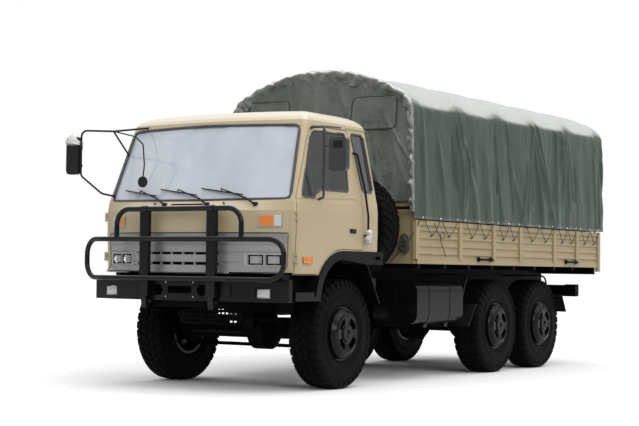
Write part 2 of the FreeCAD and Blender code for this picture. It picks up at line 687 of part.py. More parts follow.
def make_front_end():
    """Bumper with its lamp recesses, the folding bull bar, and the guards below."""
    sweep = 150
    inner = 60
    face = d.bumper_face

    outer_edge = Part.Arc(V(d.bumper_half, face + sweep, d.bumper_bottom),
                          V(0, face, d.bumper_bottom),
                          V(-d.bumper_half, face + sweep, d.bumper_bottom)).toShape()
    back_edge = Part.Arc(V(-d.bumper_half, face + sweep + inner, d.bumper_bottom),
                         V(0, face + inner, d.bumper_bottom),
                         V(d.bumper_half, face + sweep + inner, d.bumper_bottom)).toShape()
    sides = [Part.LineSegment(V(-d.bumper_half, face + sweep, d.bumper_bottom),
                              V(-d.bumper_half, face + sweep + inner, d.bumper_bottom)).toShape(),
             Part.LineSegment(V(d.bumper_half, face + sweep + inner, d.bumper_bottom),
                              V(d.bumper_half, face + sweep, d.bumper_bottom)).toShape()]
    bar = Part.Face(Part.Wire([outer_edge, sides[0], back_edge, sides[1]]))
    bar = bar.extrude(V(0, 0, d.bumper_top - d.bumper_bottom))
    slot = Part.makeBox(284, 200, 70, V(-142, face - 50, 939))
    bar = bar.cut(slot)
    for side in (1, -1):
        hole = Part.makeCylinder(55, 200, V(side * 263, face - 50, 970), V(0, 1, 0))
        lamp = Part.makeBox(150, 200, 90, V(side * 915 - 75, face - 20, 905))
        bar = bar.cut(hole).cut(lamp)
        horn = Part.makeBox(70, d.frame_front - face - inner + 8, 150,
                            V(side * 390 - 35, face + inner - 8, 840))
        bar = bar.fuse(horn)
    bar = bar.removeSplitter()
    node("front_bumper", solid("front_bumper_form", bar))
    node("bull_bar", solid("bull_bar_form", bull_bar().cut(bar)))


def bull_bar():
    """Two posts with towing hooks, a low wide hoop and a high narrow one."""
    y = d.guard_face
    r = d.guard_tube
    posts = []
    for side in (1, -1):
        post = Part.makeBox(105, 46, 1760 - 905, V(side * 404 - 52.5, y - 8, 905))
        toe = prism([(y - 8, 905), (y + 38, 905), (y + 38, 800), (y + 10, 790)], "x",
                    side * 404 - 30, side * 404 + 30)
        lug = Part.makeBox(60, 60, 70, V(side * 404 - 30, y + 30, 975))
        posts.append(post.fuse([toe, lug]))
    low = loop_tube(1190, 1078, 1461, 150, y, 70, r)
    feet_z = 1461
    high = tube([V(753, y, feet_z), V(753, y, 1754), V(-753, y, 1754), V(-753, y, feet_z)],
                [150, 150], r)
    collars = [Part.makeCylinder(r + 7, 66, V(side * 404 - 33, y, 1754), V(1, 0, 0))
               for side in (1, -1)]
    return low.fuse([posts[0], posts[1], high, *collars]).removeSplitter()


def loop_tube(half, low, high, corner, y, swept, radius):
    """A closed hoop whose ends are swept back."""
    path = hoop_wire(half, low, high, corner, y, swept)
    ring = Part.Wire([Part.makeCircle(radius, V(0, y, low), V(1, 0, 0))])
    return path.makePipeShell([ring], True, False)


def hoop_wire(half, low, high, corner, y, swept):
    knee = half - 260
    one = rounded_path([V(0, y, low), V(knee, y, low), V(half, y + swept, low),
                        V(half, y + swept, high), V(knee, y, high), V(0, y, high)],
                       [300, corner, corner, 300])
    other = rounded_path([V(0, y, high), V(-knee, y, high), V(-half, y + swept, high),
                          V(-half, y + swept, low), V(-knee, y, low), V(0, y, low)],
                         [300, corner, corner, 300])
    return Part.Wire(one.Edges + other.Edges)


def make_skid_guard():
    """Perforated guard under the bumper and the bent lip behind it."""
    y = -3272
    sheet = box("guard_plate", ("-342", "342"), (f"{y}", f"{y} + 5"), ("627", "825"))
    holes = [Part.makeBox(30, 60, 18, V(-315 + 50 * i, y - 30, 650 + 42 * j))
             for i in range(13) for j in range(4)]
    plate = cut("guard_plate_cut", sheet, solid("guard_holes", Part.makeCompound(holes)))
    arms = [box(f"guard_arm_{i}", (low, high), (f"{y} + 5", f"{y} + 19"), ("640", "frame_bottom"))
            for i, (low, high) in enumerate((("-392", "-322"), ("322", "392")))]
    lip = box("guard_lip", ("-120", "500"), ("-3420", f"{y} + 22"), ("556", "572"))
    hanger = box("guard_hanger", ("372", "500"), (f"{y} + 10", f"{y} + 22"), ("556", "700"))
    node("skid_guard", fuse("skid_guard_form", plate, lip, hanger, *arms))


def make_engine():
    block = box("engine_block", ("-250", "250"), ("-3330", "-2230"), ("840", "1190"))
    radiator = box("radiator", ("-330", "330"), ("-3520", "-3440"), ("800", "1190"))
    baffle = box("radiator_baffle", ("-600", "600"), ("-3528", "-3516"), ("1030", "1366"))
    header = box("radiator_header", ("-400", "400"), ("-3520", "-3440"), ("1100", "1366"))
    gearbox = rod("gearbox", "y", "150", "-2230", "-1600", z="850")
    node("engine", fuse("engine_form", block, radiator, gearbox, baffle, header,
                        box("fan_shroud", ("-200", "200"), ("-3440", "-3330"), ("860", "1150"))))


def make_driveline():
    """Transfer case hung between the rails and the shafts to the axles."""
    case = box("transfer_body", ("-170", "210"), ("-1250", "-850"), ("560", "900"))
    hanger = box("transfer_hanger", ("-frame_half + frame_wall", "frame_half - frame_wall"),
                 ("-1080", "-1020"), ("830", "900"))
    shafts = [
        rod("shaft_gearbox", "y", "38", "-1600", "-1250", z="760"),
        rod("shaft_front", "y", "38", "axle_front_y + 290", "-1250", x="diff_offset", z="600"),
        rod("shaft_mid", "y", "42", "-850", "axle_front_y + wheelbase - 300", z="600"),
        rod("shaft_rear", "y", "38", "axle_front_y + wheelbase + diff_radius + 10",
            "axle_front_y + wheelbase + bogie_spread - 300", z="tyre_radius + 20")]
    node("driveline", fuse("driveline_form", case, hanger, *shafts))


def make_fuel_tank():
    """Round-cornered tank on two brackets, each with a strap over it."""
    body = doc.addObject("PartDesign::Body", "tank_body")
    sketch = outline(body, "tank_outline", "XZ_Plane", [
        ("tank_inner", "tank_bottom"), ("tank_outer", "tank_bottom"),
        ("tank_outer", "tank_top"), ("tank_inner", "tank_top")])
    feature = body.newObject("PartDesign::Pad", "tank_pad")
    feature.Profile = sketch
    feature.Reversed = True
    bind(feature, "Length", "tank_rear - tank_front")
    bind(body, "Placement.Base.y", "tank_front")
    doc.recompute()
    long_edges = [f"Edge{i + 1}" for i, edge in enumerate(feature.Shape.Edges)
                  if abs(edge.tangentAt(edge.FirstParameter).y) > 0.9]
    round_off = body.newObject("PartDesign::Fillet", "tank_round_edges")
    round_off.Base = (feature, long_edges)
    bind(round_off, "Radius", "tank_round")
    width, height = d.tank_outer - d.tank_inner, d.tank_top - d.tank_bottom
    brackets = []
    for i in range(5):
        x = d.tank_inner + d.tank_round + (width - 2 * d.tank_round - d.tank_rib) * i / 4
        rib = Part.makeBox(d.tank_rib, d.tank_rear - d.tank_front + 16, height - 2 * d.tank_round,
                           V(x, d.tank_front - 8, d.tank_bottom + d.tank_round))
        brackets.append(solid(f"tank_rib_{i}", rib))
    for i, y in enumerate((-819, -336)):
        band = Part.makeBox(width + 8, d.strap, height + 8,
                            V(d.tank_inner - 4, y - d.strap / 2, d.tank_bottom - 4))
        long_way = [edge for edge in band.Edges if edge.BoundBox.YLength > 1]
        brackets.append(solid(f"tank_strap_{i}", band.makeFillet(d.tank_round + 4, long_way)))
        arm = box(f"tank_arm_{i}", ("frame_half", "tank_outer - 60"), (f"{y} - 35", f"{y} + 35"),
                  ("tank_bottom - 40", "tank_bottom"))
        upright = box(f"tank_upright_{i}", ("frame_half", "tank_inner"), (f"{y} - 35", f"{y} + 35"),
                      ("tank_bottom - 40", "frame_bottom + frame_height - 20"))
        brackets += [arm, upright]
    node("fuel_tank", fuse("fuel_tank_form", body, *brackets))


def make_right_side_units():
    """Battery box, air tanks and silencer along the right rail."""
    battery = box("battery_case", ("-1120", "-640"), ("-1050", "-560"), ("660", "1040"))
    bracket = box("battery_bracket", ("-640", "-frame_half"), ("-980", "-620"), ("800", "960"))
    node("battery_box", fuse("battery_box_form", battery, bracket))
    rear = "axle_front_y + wheelbase - air_tank_clear"
    tanks = [rod(f"air_tank_{i}", "y", "125", f"{rear} - air_tank_length", rear, x="-660", z=z)
             for i, z in enumerate(("720", "985"))]
    middle = f"{rear} - air_tank_length / 2"
    strap = box("air_strap", ("-660", "-frame_half"), (f"{middle} - 30", f"{middle} + 30"),
                ("700", "990"))
    node("air_tanks", fuse("air_tanks_form", *tanks, strap))
    silencer = rod("silencer", "x", "150", "-1080", "-480", y="-1420", z="820")
    pipe = box("silencer_bracket", ("-480", "-frame_half"), ("-1450", "-1390"), ("780", "860"))
    node("exhaust", fuse("exhaust_form", silencer, pipe))


# ---------------------------------------------------------------- cab

def side_outline(points, side):
    """A cutter through one cab side from (y, z) corners."""
    low, high = (880, 1320) if side > 0 else (-1320, -880)
    return prism(points, "x", low, high)


def arch_curve(grown, low):
    """Corners along the wheel arch, from a height up to its crest."""
    radius = d.arch_round + grown
    middle = d.arch_top - d.arch_round
    start = math.asin((low - middle) / radius)
    steps = 9
    turns = [start + (math.pi / 2 - start) * i / steps for i in range(steps + 1)]
    return [(d.arch_y - radius * math.cos(t), middle + radius * math.sin(t)) for t in turns]


def door_points(gap):
    """Door outline; a positive gap draws it in."""
    return [(d.door_front + gap, d.door_foot + gap),
            *arch_curve(9 + gap, d.door_foot + gap), (d.door_rear - gap, d.arch_top + 9 + gap),
            (d.door_rear - gap, d.crease_high), (-2344 - gap, 1986), (-2483 - gap, 2584 - gap),
            (-3090 + gap, 2584 - gap), (-3180 + gap, 2545 - gap),
            (-3250 + gap, 2440 - gap), (-3488 + gap, 1868), (d.door_front + gap, 1745)]


def window_points(gap):
    """Door window outline with its stepped sill; a positive gap draws it in."""
    return [(-3436 + gap, 1874 + gap), (-3190, 1874 + gap), (-3100, 1955 + gap),
            (-2560 - gap, 1959 + gap), (-2518 - gap, 2543 - gap),
            (-3085 + gap, 2538 - gap), (-3160 + gap, 2500 - gap), (-3212 + gap, 2420 - gap)]


def quarter_points(gap):
    return [(-2418 + gap, 2550 - gap), (-2185 - gap, 2550 - gap),
            (-2100 - gap, 1978 + gap), (-2292 + gap, 1970 + gap)]


def pressing_points():
    """The long pressing under the door's sill, round at its rear end."""
    return [(d.door_front - 20, 1812), (-2510, 1842), (-2462, 1850), (-2442, 1868),
            (-2462, 1888), (-2510, 1893), (d.door_front - 20, 1852)]


def screen_points():
    return [(-1086, 1852), (-700, 1842), (0, 1838), (700, 1842), (1086, 1852), (1012, 2576),
            (600, 2588), (0, 2592), (-600, 2588), (-1012, 2576)]


def arch_points():
    """What the wheel arches take out of the cab's lower edge."""
    return [*arch_curve(0, d.arch_foot), (d.cab_rear + 60, d.arch_top),
            (d.cab_rear + 60, d.arch_foot)]


def slab(front, rear, low, high):
    """A block wider than the cab, for splitting its panels."""
    wide = d.cab_half + 300
    return Part.makeBox(2 * wide, rear - front, high - low, V(-wide, front, low))


def make_cab():
    outer = cab_form(0)
    inner = cab_form(d.cab_skin)
    skin = outer.cut(inner)
    wide = prism(arch_points(), "x", -1400, 1400)
    skin = skin.cut(wide).cut(Part.makeBox(2 * (d.cab_half - 60), 1500, 60,
                                           V(-d.cab_half + 60, d.cab_nose + 60, d.cab_bottom - 40)))
    ahead = d.cab_nose - 200
    below = d.cab_bottom - 100
    front_end = d.door_front - d.corner_post
    behind = d.cab_rear + 200
    roof_zone = slab(ahead, behind, d.gutter, d.roof_top + 100)
    lip = cab_form(-9).cut(cab_form(4)).common(slab(-2500, behind, d.gutter, d.gutter + 10))
    roof = skin.common(roof_zone).fuse(lip)
    node("cab_roof", solid("cab_roof_form", roof))
    grille = skin.common(slab(ahead, front_end, below, d.hatch_foot - d.seam))
    node("grille", solid("grille_form", cut_grille(grille)))
    hatch = skin.common(slab(ahead, front_end, d.hatch_foot, d.belt))
    for side in (1, -1):
        hatch = hatch.cut(indicator_block(side))
    vent = Part.makeBox(400, 300, 16, V(-200, d.cab_nose - 50, 1792))
    node("cab_front", solid("cab_front_form", hatch.cut(vent)))
    shell = skin.cut(slab(ahead, front_end, below, d.belt)).cut(roof_zone)
    glass_layer = cab_form(d.glass_inset).cut(cab_form(d.glass_inset + d.glass))
    screen = prism(screen_points(), "y", -4000, -3100)
    shell = shell.cut(screen)
    panes = [glass_layer.common(screen)]
    doors = {}
    pressed = outer.cut(cab_form(d.press_depth))
    for side, tag in ((1, "left"), (-1, "right")):
        opening = side_outline(door_points(0), side)
        leaf = side_outline(door_points(d.panel_gap), side)
        window = side_outline(window_points(0), side)
        quarter = side_outline(quarter_points(0), side)
        recess = pressed.common(side_outline(pressing_points(), side))
        doors[tag] = shell.common(leaf).cut(window).cut(recess)
        shell = shell.cut(opening).cut(quarter)
        panes.append(glass_layer.common(quarter))
        pane = glass_layer.common(window)
        node(f"door_glass_{tag}", solid(f"door_glass_{tag}_form", pane))
    node("cab_glass", solid("cab_glass_form", Part.makeCompound(panes)))
    floor_half = d.cab_half - d.cab_skin - 14
    floor_front = d.door_front + 105
    floor = Part.makeBox(2 * floor_half, d.cab_rear - d.cab_skin + 5 - floor_front, 22,
                         V(-floor_half, floor_front, d.floor_level))
    shell = shell.fuse(floor)
    legs = []
    for y in (-3380, -2100):
        for side in (1, -1):
            leg = Part.makeBox(90, 110, d.floor_level - d.frame_bottom - d.frame_height,
                               V(side * 385 - 45, y - 55, d.frame_bottom + d.frame_height))
            legs.append(leg)
    shell = shell.fuse(legs)
    for side, tag in ((1, "left"), (-1, "right")):
        leaf, barrels = hinges(side)
        shell = shell.fuse(barrels)
        shape = doors[tag].fuse(leaf)
        node(f"door_{tag}", solid(f"door_{tag}_form", shape))
    node("cab_shell", solid("cab_shell_form", shell))


def hinges(side):
    """Two door hinges: the cab's barrels with the pin, and the door's barrel round it."""
    x = side * d.hinge_x
    y = d.door_front + 2
    door_side = []
    cab_side = []
    for z in (1290, 1690):
        pin = Part.makeCylinder(d.pin_radius, 90, V(x, y, z - 45))
        for low in (z - 45, z + 21):
            barrel = Part.makeCylinder(d.hinge_radius, 24, V(x, y, low))
            web = Part.makeBox(d.hinge_reach, 14, 24,
                               V(min(x, x - side * d.hinge_reach), y - 14, low))
            cab_side += [barrel, web]
        cab_side.append(pin)
        tube_part = Part.makeCylinder(d.hinge_radius, 41, V(x, y, z - 20.5))
        web = Part.makeBox(d.hinge_reach, 24, 41,
                           V(min(x, x - side * d.hinge_reach), y, z - 20.5))
        knuckle = tube_part.fuse(web).cut(
            Part.makeCylinder(d.pin_radius + d.pin_play, 90, V(x, y, z - 45)))
        door_side.append(knuckle)
    return door_side, cab_side


def cut_grille(panel):
    """Ribbed bands: shallow grooves, two rows of through slots and the headlamp recesses."""
    shallow = cab_form(0).cut(cab_form(9))
    half_slots = 3 * d.slot_pitch
    wide = d.cab_half + 100
    ahead = d.cab_nose - 50
    for low, high in ((1404, 1424), (1338, 1346), (1242, 1250), (1206, 1214)):
        panel = panel.cut(shallow.common(slab(ahead, d.door_front, low, high)))
    for low, high in ((1314, 1338), (1214, 1242)):
        for i in range(-3, 3):
            slot = Part.makeBox(d.slot_pitch - 14, 200, high - low,
                                V(i * d.slot_pitch + 7, ahead, low))
            panel = panel.cut(slot)
        for side in (1, -1):
            start, end = half_slots + 30, d.lamp_inner - 60
            groove = Part.makeBox(end - start, 400, high - low,
                                  V(start if side > 0 else -end, ahead, low))
            panel = panel.cut(shallow.common(groove))
    skirt = Part.makeBox(2 * wide, 500, d.grille_foot - d.cab_bottom + 60,
                         V(-wide, ahead, d.cab_bottom - 60))
    panel = panel.cut(skirt)
    for side in (1, -1):
        panel = panel.cut(lamp_block(side, d.lamp_inner, d.lamp_outer, d.lamp_foot, d.lamp_head))
    return panel


def lamp_block(side, inner, outer, low, high):
    """A block through the cab's front between two distances from the middle."""
    x0 = inner if side > 0 else -outer
    return Part.makeBox(outer - inner, 500, high - low, V(x0, d.cab_nose - 60, low))


def indicator_block(side):
    return lamp_block(side, 808, 1034, 1582, 1702)


def make_front_lamps():
    """Headlamp frames with paired lamps, indicators above and fog lamps in the bumper."""
    lamps = []
    frame = cab_form(-4).cut(cab_form(26))
    lens = cab_form(8).cut(cab_form(44))
    bulge = cab_form(-10).cut(cab_form(20))
    middle = (d.lamp_inner + d.lamp_outer) / 2
    behind = slab(d.door_front - d.corner_post - 0.3, d.door_rear, d.lamp_foot - 10, d.belt)
    for side in (1, -1):
        recess = lamp_block(side, d.lamp_inner, d.lamp_outer, d.lamp_foot, d.lamp_head)
        openings = [lamp_block(side, low, high, d.lamp_foot + 10, d.lamp_head - 14)
                    for low, high in ((d.lamp_inner + 34, middle - 8), (middle + 8, d.lamp_outer - 34))]
        bezel = frame.common(recess).cut(openings[0]).cut(openings[1])
        headlamp = bezel.fuse([lens.common(opening) for opening in openings])
        lamps.append(headlamp.cut(behind))
        lamps.append(bulge.common(indicator_block(side)).cut(behind))
    for side in (1, -1):
        fog = Part.makeBox(146, 50, 86, V(side * 915 - 73, d.bumper_face + 100, 905))
        lamps.append(fog)
    node("front_lamps", solid("front_lamps_form", Part.makeCompound(lamps)))


def make_fenders():
    """Black arch mouldings with the step ahead of the wheel and the liner behind."""
    shapes = []
    band = [*arch_curve(0, d.arch_foot), (-1928, d.arch_top), (-1928, 1240), (-2255, 1240),
            *reversed(arch_curve(-86, d.arch_foot))]
    for side in (1, -1):
        low, high = (955, 1192) if side > 0 else (-1192, -955)
        arch = prism(band, "x", low, high)
        step_low = 955 if side > 0 else -1180
        step = Part.makeBox(225, 440, 85, V(step_low, -3537, 880))
        riser = Part.makeBox(60, 380, 170, V(side * 985 - 30, -3520, 962))
        link_bar = Part.makeBox(60, 120, 60, V(side * 985 - 30, -3220, 930))
        liner = prism([(-2250, 1242), (-2235, 1242), (-1980, 843), (-1995, 843)],
                      "x", low, high)
        pocket = Part.makeBox(60, 190, 34, V(side * 1192 - 30, -2170, 1288))
        shape = arch.fuse([step, riser, link_bar, liner]).cut(pocket)
        shapes.append(shape)
    node("fenders", solid("fenders_form", Part.makeCompound(shapes)))


def make_cab_inside():
    seats = []
    floor = d.floor_level + 22
    for i, x in enumerate((620, 0, -620)):
        wide = 480
        base = Part.makeBox(wide - 80, 380, 230, V(x - wide / 2 + 40, -2900, floor))
        cushion = Part.makeBox(wide, 470, 120, V(x - wide / 2, -2960, floor + 230))
        back = prism([(-2550, floor + 240), (-2450, floor + 240), (-2350, floor + 880),
                      (-2440, floor + 880)], "x", x - wide / 2, x + wide / 2)
        seats.append(base.fuse([cushion, back]))
    node("seats", solid("seats_form", Part.makeCompound(seats)))
    board = prism([(-3700, 1600), (-3300, 1600), (-3230, 1740), (-3300, 1822), (-3700, 1822)],
                  "x", -1045, 1045).common(cab_form(d.cab_skin))
    foot = Part.makeBox(200, 120, 1620 - floor, V(-100, -3480, floor))
    tilt = V(0, 0.62, 0.78)
    column = Part.makeCylinder(22, 300, V(600, -3330, 1700), tilt)
    hub = V(600, -3330 + 300 * tilt.y, 1700 + 300 * tilt.z)
    rim = Part.makeTorus(225, 16, hub, tilt)
    spoke = Part.makeBox(440, 40, 14, V(-220, -20, -7))
    spoke.Placement = FreeCAD.Placement(hub, FreeCAD.Rotation(V(0, 0, 1), tilt))
    node("dashboard", solid("dashboard_form", board.fuse([foot, column, rim, spoke])))


def rounded_head(x, y, z, width, deep, tall, turn):
    """A mirror housing with round corners, seen from behind."""
    head = Part.makeBox(width, deep, tall, V(x, y, z))
    corners = [edge for edge in head.Edges if edge.BoundBox.YLength > deep / 2]
    return head.makeFillet(turn, corners)


def make_mirrors():
    """Left mirror on a bow at the door's front edge; right mirrors on a frame ahead of the cab."""
    cab = cab_form(0)
    bow = tube([V(1120, -3140, 1850), V(1225, -3140, 1875), V(1225, -3140, 2560),
                V(1040, -3140, 2562)], [20, 30], 12)
    arm = Part.makeCylinder(10, 180, V(1225, -3140, 2375), V(1, 0, 0))
    head = rounded_head(1296, -3170, 2128, 198, 60, 322, 35)
    node("mirror_left", solid("mirror_left_form", bow.fuse([arm, head]).cut(cab)))
    knee = V(-980, -3640, 2554)
    stay = tube([V(-1050, -3440, 1895), V(-1105, -3660, 1925), V(-1273, -3790, 2103),
                 V(-1273, -3790, 2560), knee, V(-760, -3080, 2640)], [60, 60, 60, 60], 10)
    leg = tube([knee, V(-1025, -3300, 2300)], [], 9)
    stalk = tube([knee, V(-648, -3700, 2484), V(-547, -3700, 2403), V(-528, -3700, 2200),
                  V(-546, -3700, 2050)], [50, 50, 60], 7)
    clamps = [Part.makeBox(60, 26, 30, V(-1325, -3803, z)) for z in (2190, 2370)]
    head = rounded_head(-1452, -3815, 2115, 162, 50, 385, 45)
    disc = Part.makeCylinder(55, 16, V(-546, -3708, 2030), V(0, 1, 0))
    frame = stay.fuse([leg, stalk, head, disc, *clamps])
    node("mirror_right", solid("mirror_right_form", frame.cut(cab)))


def make_grab_rails():
    """A bent rail on each rear pillar, clear of the door's swing."""
    cab = cab_form(0)
    rails = []
    for side in (1, -1):
        way = [V(side * 1060, -2405, 2362), V(side * 1152, -2403, 2350),
               V(side * 1204, -2325, 1986), V(side * 1226, -2290, 1726),
               V(side * 1226, -2290, 1540), V(side * 1120, -2290, 1510)]
        rails.append(tube(way, [25, 200, 200, 25], 11).cut(cab))
    node("grab_rails", solid("grab_rails_form", Part.makeCompound(rails)))


# ---------------------------------------------------------------- bed and canvas

def make_bed():
    floor = box("bed_plate", ("-bed_half + board", "bed_half - board"),
                ("bed_front + board", "bed_rear - tailgate_thick"), ("bed_floor - 50", "bed_floor"))
    parts = [floor]
    for i in range(9):
        y, deep = (-1180 + i * 590, 46) if i < 8 else (3655, 90)
        parts.append(box(f"bearer_{i}", ("-bed_half + board", "bed_half - board"),
                         (f"{y} - 30", f"{y} + 30"), (f"bed_floor - 50 - {deep}", "bed_floor - 50")))
    for side in (1, -1):
        parts.append(box(f"sill_{side + 1}", (f"{side} * 390 - 35", f"{side} * 390 + 35"),
                         ("bed_front + board", "bed_rear - 60"),
                         ("frame_bottom + frame_height", "bed_floor - 50")))
    for i, x in enumerate((-800, 0, 800)):
        parts.append(rod(f"gate_pin_{i}", "x", "gate_pin", f"{x} - 66", f"{x} + 66",
                         y="bed_rear + gate_hinge_y", z="bed_floor - gate_hinge_z"))
        for low, high in ((f"{x} - 62", f"{x} - 44"), (f"{x} + 44", f"{x} + 62")):
            parts.append(box(f"gate_lug_{i}", (low, high),
                             ("bed_rear - tailgate_thick - 20", "bed_rear + gate_hinge_y + 10"),
                             ("bed_floor - 48", "bed_floor - 4")))
    node("cargo_floor", fuse("cargo_floor_form", *parts))
    head = box("headboard_form", ("-bed_half + board", "bed_half - board"),
               ("bed_front", "bed_front + board"), ("bed_floor - 50", "headboard_top"))
    node("headboard", head)
    for side, tag in ((1, "left"), (-1, "right")):
        outer = f"{side} * bed_half"
        inner = f"{side} * (bed_half - board)"
        face = f"{side} * (bed_half - board_recess)"
        low, high = (inner, face) if side > 0 else (face, inner)
        panel = box(f"side_panel_{tag}", (low, high), ("bed_front + board", "bed_rear"),
                    ("bed_floor - 50", "bed_top"))
        low, high = (inner, outer) if side > 0 else (outer, inner)
        rails = [box(f"side_rail_{tag}_{i}", (low, high), ("bed_front + board", "bed_rear"), span)
                 for i, span in enumerate((("bed_floor - 50", "bed_floor + 16"),
                                           ("bed_top - 52", "bed_top")))]
        stakes = []
        for i, fit_y in enumerate(STAKES_Y):
            y = fit_y - 2540
            proud = f"{side} * (bed_half + stake_proud)"
            sl, sh = (inner, proud) if side > 0 else (proud, inner)
            y0 = f"min({y} - stake_width / 2; bed_rear - stake_width)"
            stakes.append(box(f"stake_{tag}_{i}", (sl, sh), (y0, f"{y0} + stake_width"),
                              ("bed_floor", "bed_top")))
        pl, ph = (inner, proud) if side > 0 else (proud, inner)
        post = box(f"corner_post_{tag}", (pl, ph), ("bed_rear - stake_width", "bed_rear"),
                   ("corner_foot", "bed_top"))
        ribs = solid(f"ribs_{tag}", Part.makeCompound(side_ribs(side)))
        node(f"bed_side_{tag}", fuse(f"bed_side_{tag}_form", panel, post, ribs, *rails, *stakes))
    make_tailgate()


def rib_section(face, outward, low):
    """Corners of a pressed rib that stands on a face."""
    proud = face + outward * d.rib_proud
    return [(face - outward * 5, low), (face, low), (proud, low + 9),
            (proud, low + d.rib_height - 9), (face, low + d.rib_height),
            (face - outward * 5, low + d.rib_height)]


def rib_heights():
    return [d.bed_floor + 45 + i * d.rib_pitch for i in range(4)]


def side_ribs(side):
    """Four long ribs in each bay between the stakes."""
    middles = [fit_y - 2540 for fit_y in STAKES_Y]
    middles[-1] = d.bed_rear - d.stake_width / 2
    ends = d.stake_width / 2 + 18
    face = side * (d.bed_half - d.board_recess)
    return [prism(rib_section(face, side, low), "y", front + ends, rear - ends)
            for front, rear in zip(middles, middles[1:]) for low in rib_heights()]


def make_tailgate():
    """Rear gate on three hinges; the bed carries the pins in pairs of lugs."""
    gate = box("tailgate_plate", ("-bed_half + board + tailgate_gap", "bed_half - board - tailgate_gap"),
               ("bed_rear - tailgate_thick", "bed_rear"), ("bed_floor + tailgate_gap", "bed_top"))
    barrels = []
    for i, x in enumerate((-800, 0, 800)):
        barrel = rod(f"gate_barrel_{i}", "x", "gate_barrel", f"{x} - 40", f"{x} + 40",
                     y="bed_rear + gate_hinge_y", z="bed_floor - gate_hinge_z")
        strap = box(f"gate_strap_{i}", (f"{x} - 40", f"{x} + 40"),
                    ("bed_rear", "bed_rear + gate_hinge_y + gate_barrel"),
                    ("bed_floor - gate_hinge_z", "bed_floor + 90"))
        barrels += [barrel, strap]
    bore = rod("gate_bore", "x", "gate_pin + pin_play", "-900", "900",
               y="bed_rear + gate_hinge_y", z="bed_floor - gate_hinge_z")
    reach = d.bed_half - d.board - 70
    ribs = [prism([(-reach, low), (reach, low), (reach, low + d.rib_height),
                   (-reach, low + d.rib_height)], "y", d.bed_rear - 5, d.bed_rear + 8)
            for low in rib_heights()]
    gate_ribs = solid("gate_ribs", Part.makeCompound(ribs))
    node("tailgate", cut("tailgate_form", fuse("tailgate_solid", gate, gate_ribs, *barrels), bore))


def arch_edges(inset, foot, y, half=None):
    """The canvas arch drawn in by an inset: straight sides, round shoulders, shallow crown."""
    half = half or d.tarp_half - inset
    top = d.tarp_top - inset
    crown = d.crown_radius - inset
    turn = d.shoulder_round - inset
    turn_x = half - turn
    middle = top - crown
    turn_z = middle + math.sqrt((crown - turn) ** 2 - turn_x ** 2)
    lean = math.atan2(turn_z - middle, turn_x)
    meet = V(crown * math.cos(lean), y, middle + crown * math.sin(lean))
    mid_turn = V(turn_x + turn * math.cos(lean / 2), y, turn_z + turn * math.sin(lean / 2))

    def right(spot):
        return V(-spot.x, spot.y, spot.z)

    low, shoulder = V(half, y, foot), V(half, y, turn_z)
    edges = [Part.LineSegment(low, shoulder), Part.Arc(shoulder, mid_turn, meet),
             Part.Arc(meet, V(0, y, top), right(meet)),
             Part.Arc(right(meet), right(mid_turn), right(shoulder)),
             Part.LineSegment(right(shoulder), right(low))]
    return [edge.toShape() for edge in edges]


def arch_solid(inset, foot, front, rear):
    edges = arch_edges(inset, foot, front)
    closing = Part.LineSegment(V(-d.tarp_half + inset, front, foot),
                               V(d.tarp_half - inset, front, foot)).toShape()
    return Part.Face(Part.Wire(edges + [closing])).extrude(V(0, rear - front, 0))


def make_tarp():
    """Canvas: sides, crown, rear curtain and a front wall that stops at the headboard."""
    wall = d.tarp_wall
    outer = arch_solid(0, d.tarp_hem, d.tarp_front, d.tarp_rear)
    inner = arch_solid(wall, d.tarp_hem - 20, d.tarp_front + wall, d.tarp_rear - wall)
    below = Part.makeBox(2 * (d.tarp_half - wall), 3 * wall, d.headboard_top - d.tarp_hem + 20,
                         V(-d.tarp_half + wall, d.tarp_front - wall, d.tarp_hem - 20))
    node("tarp", solid("tarp_form", outer.cut(inner).cut(below)))
    inset = d.tarp_wall + d.seat_play + d.bow_radius
    leg_x = d.bed_half - d.board - d.bow_radius - 4
    bows = []
    first = d.bed_front + d.board + 2 * d.bow_radius
    last = d.bed_rear - d.tailgate_thick - 2 * d.bow_radius
    for i in range(6):
        y = first + i * (last - first) / 5
        path = Part.Wire(arch_edges(inset, d.bed_floor, y, leg_x))
        ring = Part.Wire([Part.makeCircle(d.bow_radius, V(leg_x, y, d.bed_floor),
                                          V(0, 0, 1))])
        bows.append(path.makePipeShell([ring], True, False))
    node("canopy_bows", solid("canopy_bows_form", Part.makeCompound(bows)))


def make_spare():
    """Spare wheel upright behind the cab, on its carrier."""
    rim = revolve("spare_rim_body", wheel_profile())
    tyre = revolve("spare_tyre_body", tyre_profile())
    for thing in (rim, tyre):
        thing.Placement.Rotation = FreeCAD.Rotation(V(0, 0, 1), -90)
        place(thing, "spare_x", "spare_y", "spare_z")
    node("spare_rim", rim)
    node("spare_tyre", tyre)
    cross = box("carrier_cross", ("-frame_half", "spare_x + 300"), ("spare_y - 60", "spare_y + 60"),
                ("frame_bottom + frame_height", "frame_bottom + frame_height + 90"))
    post = box("carrier_post", ("spare_x - 30", "spare_x + 30"), ("spare_y + 175", "spare_y + 215"),
               ("frame_bottom + frame_height", "spare_z + 60"))
    foot = box("carrier_foot", ("spare_x - 30", "spare_x + 30"), ("spare_y + 50", "spare_y + 215"),
               ("frame_bottom + frame_height", "frame_bottom + frame_height + 60"))
    pin = rod("carrier_pin", "y", "spindle_radius", "spare_y - 100", "spare_y + 180",
              x="spare_x", z="spare_z")
    node("spare_carrier", fuse("spare_carrier_form", cross, post, foot, pin))


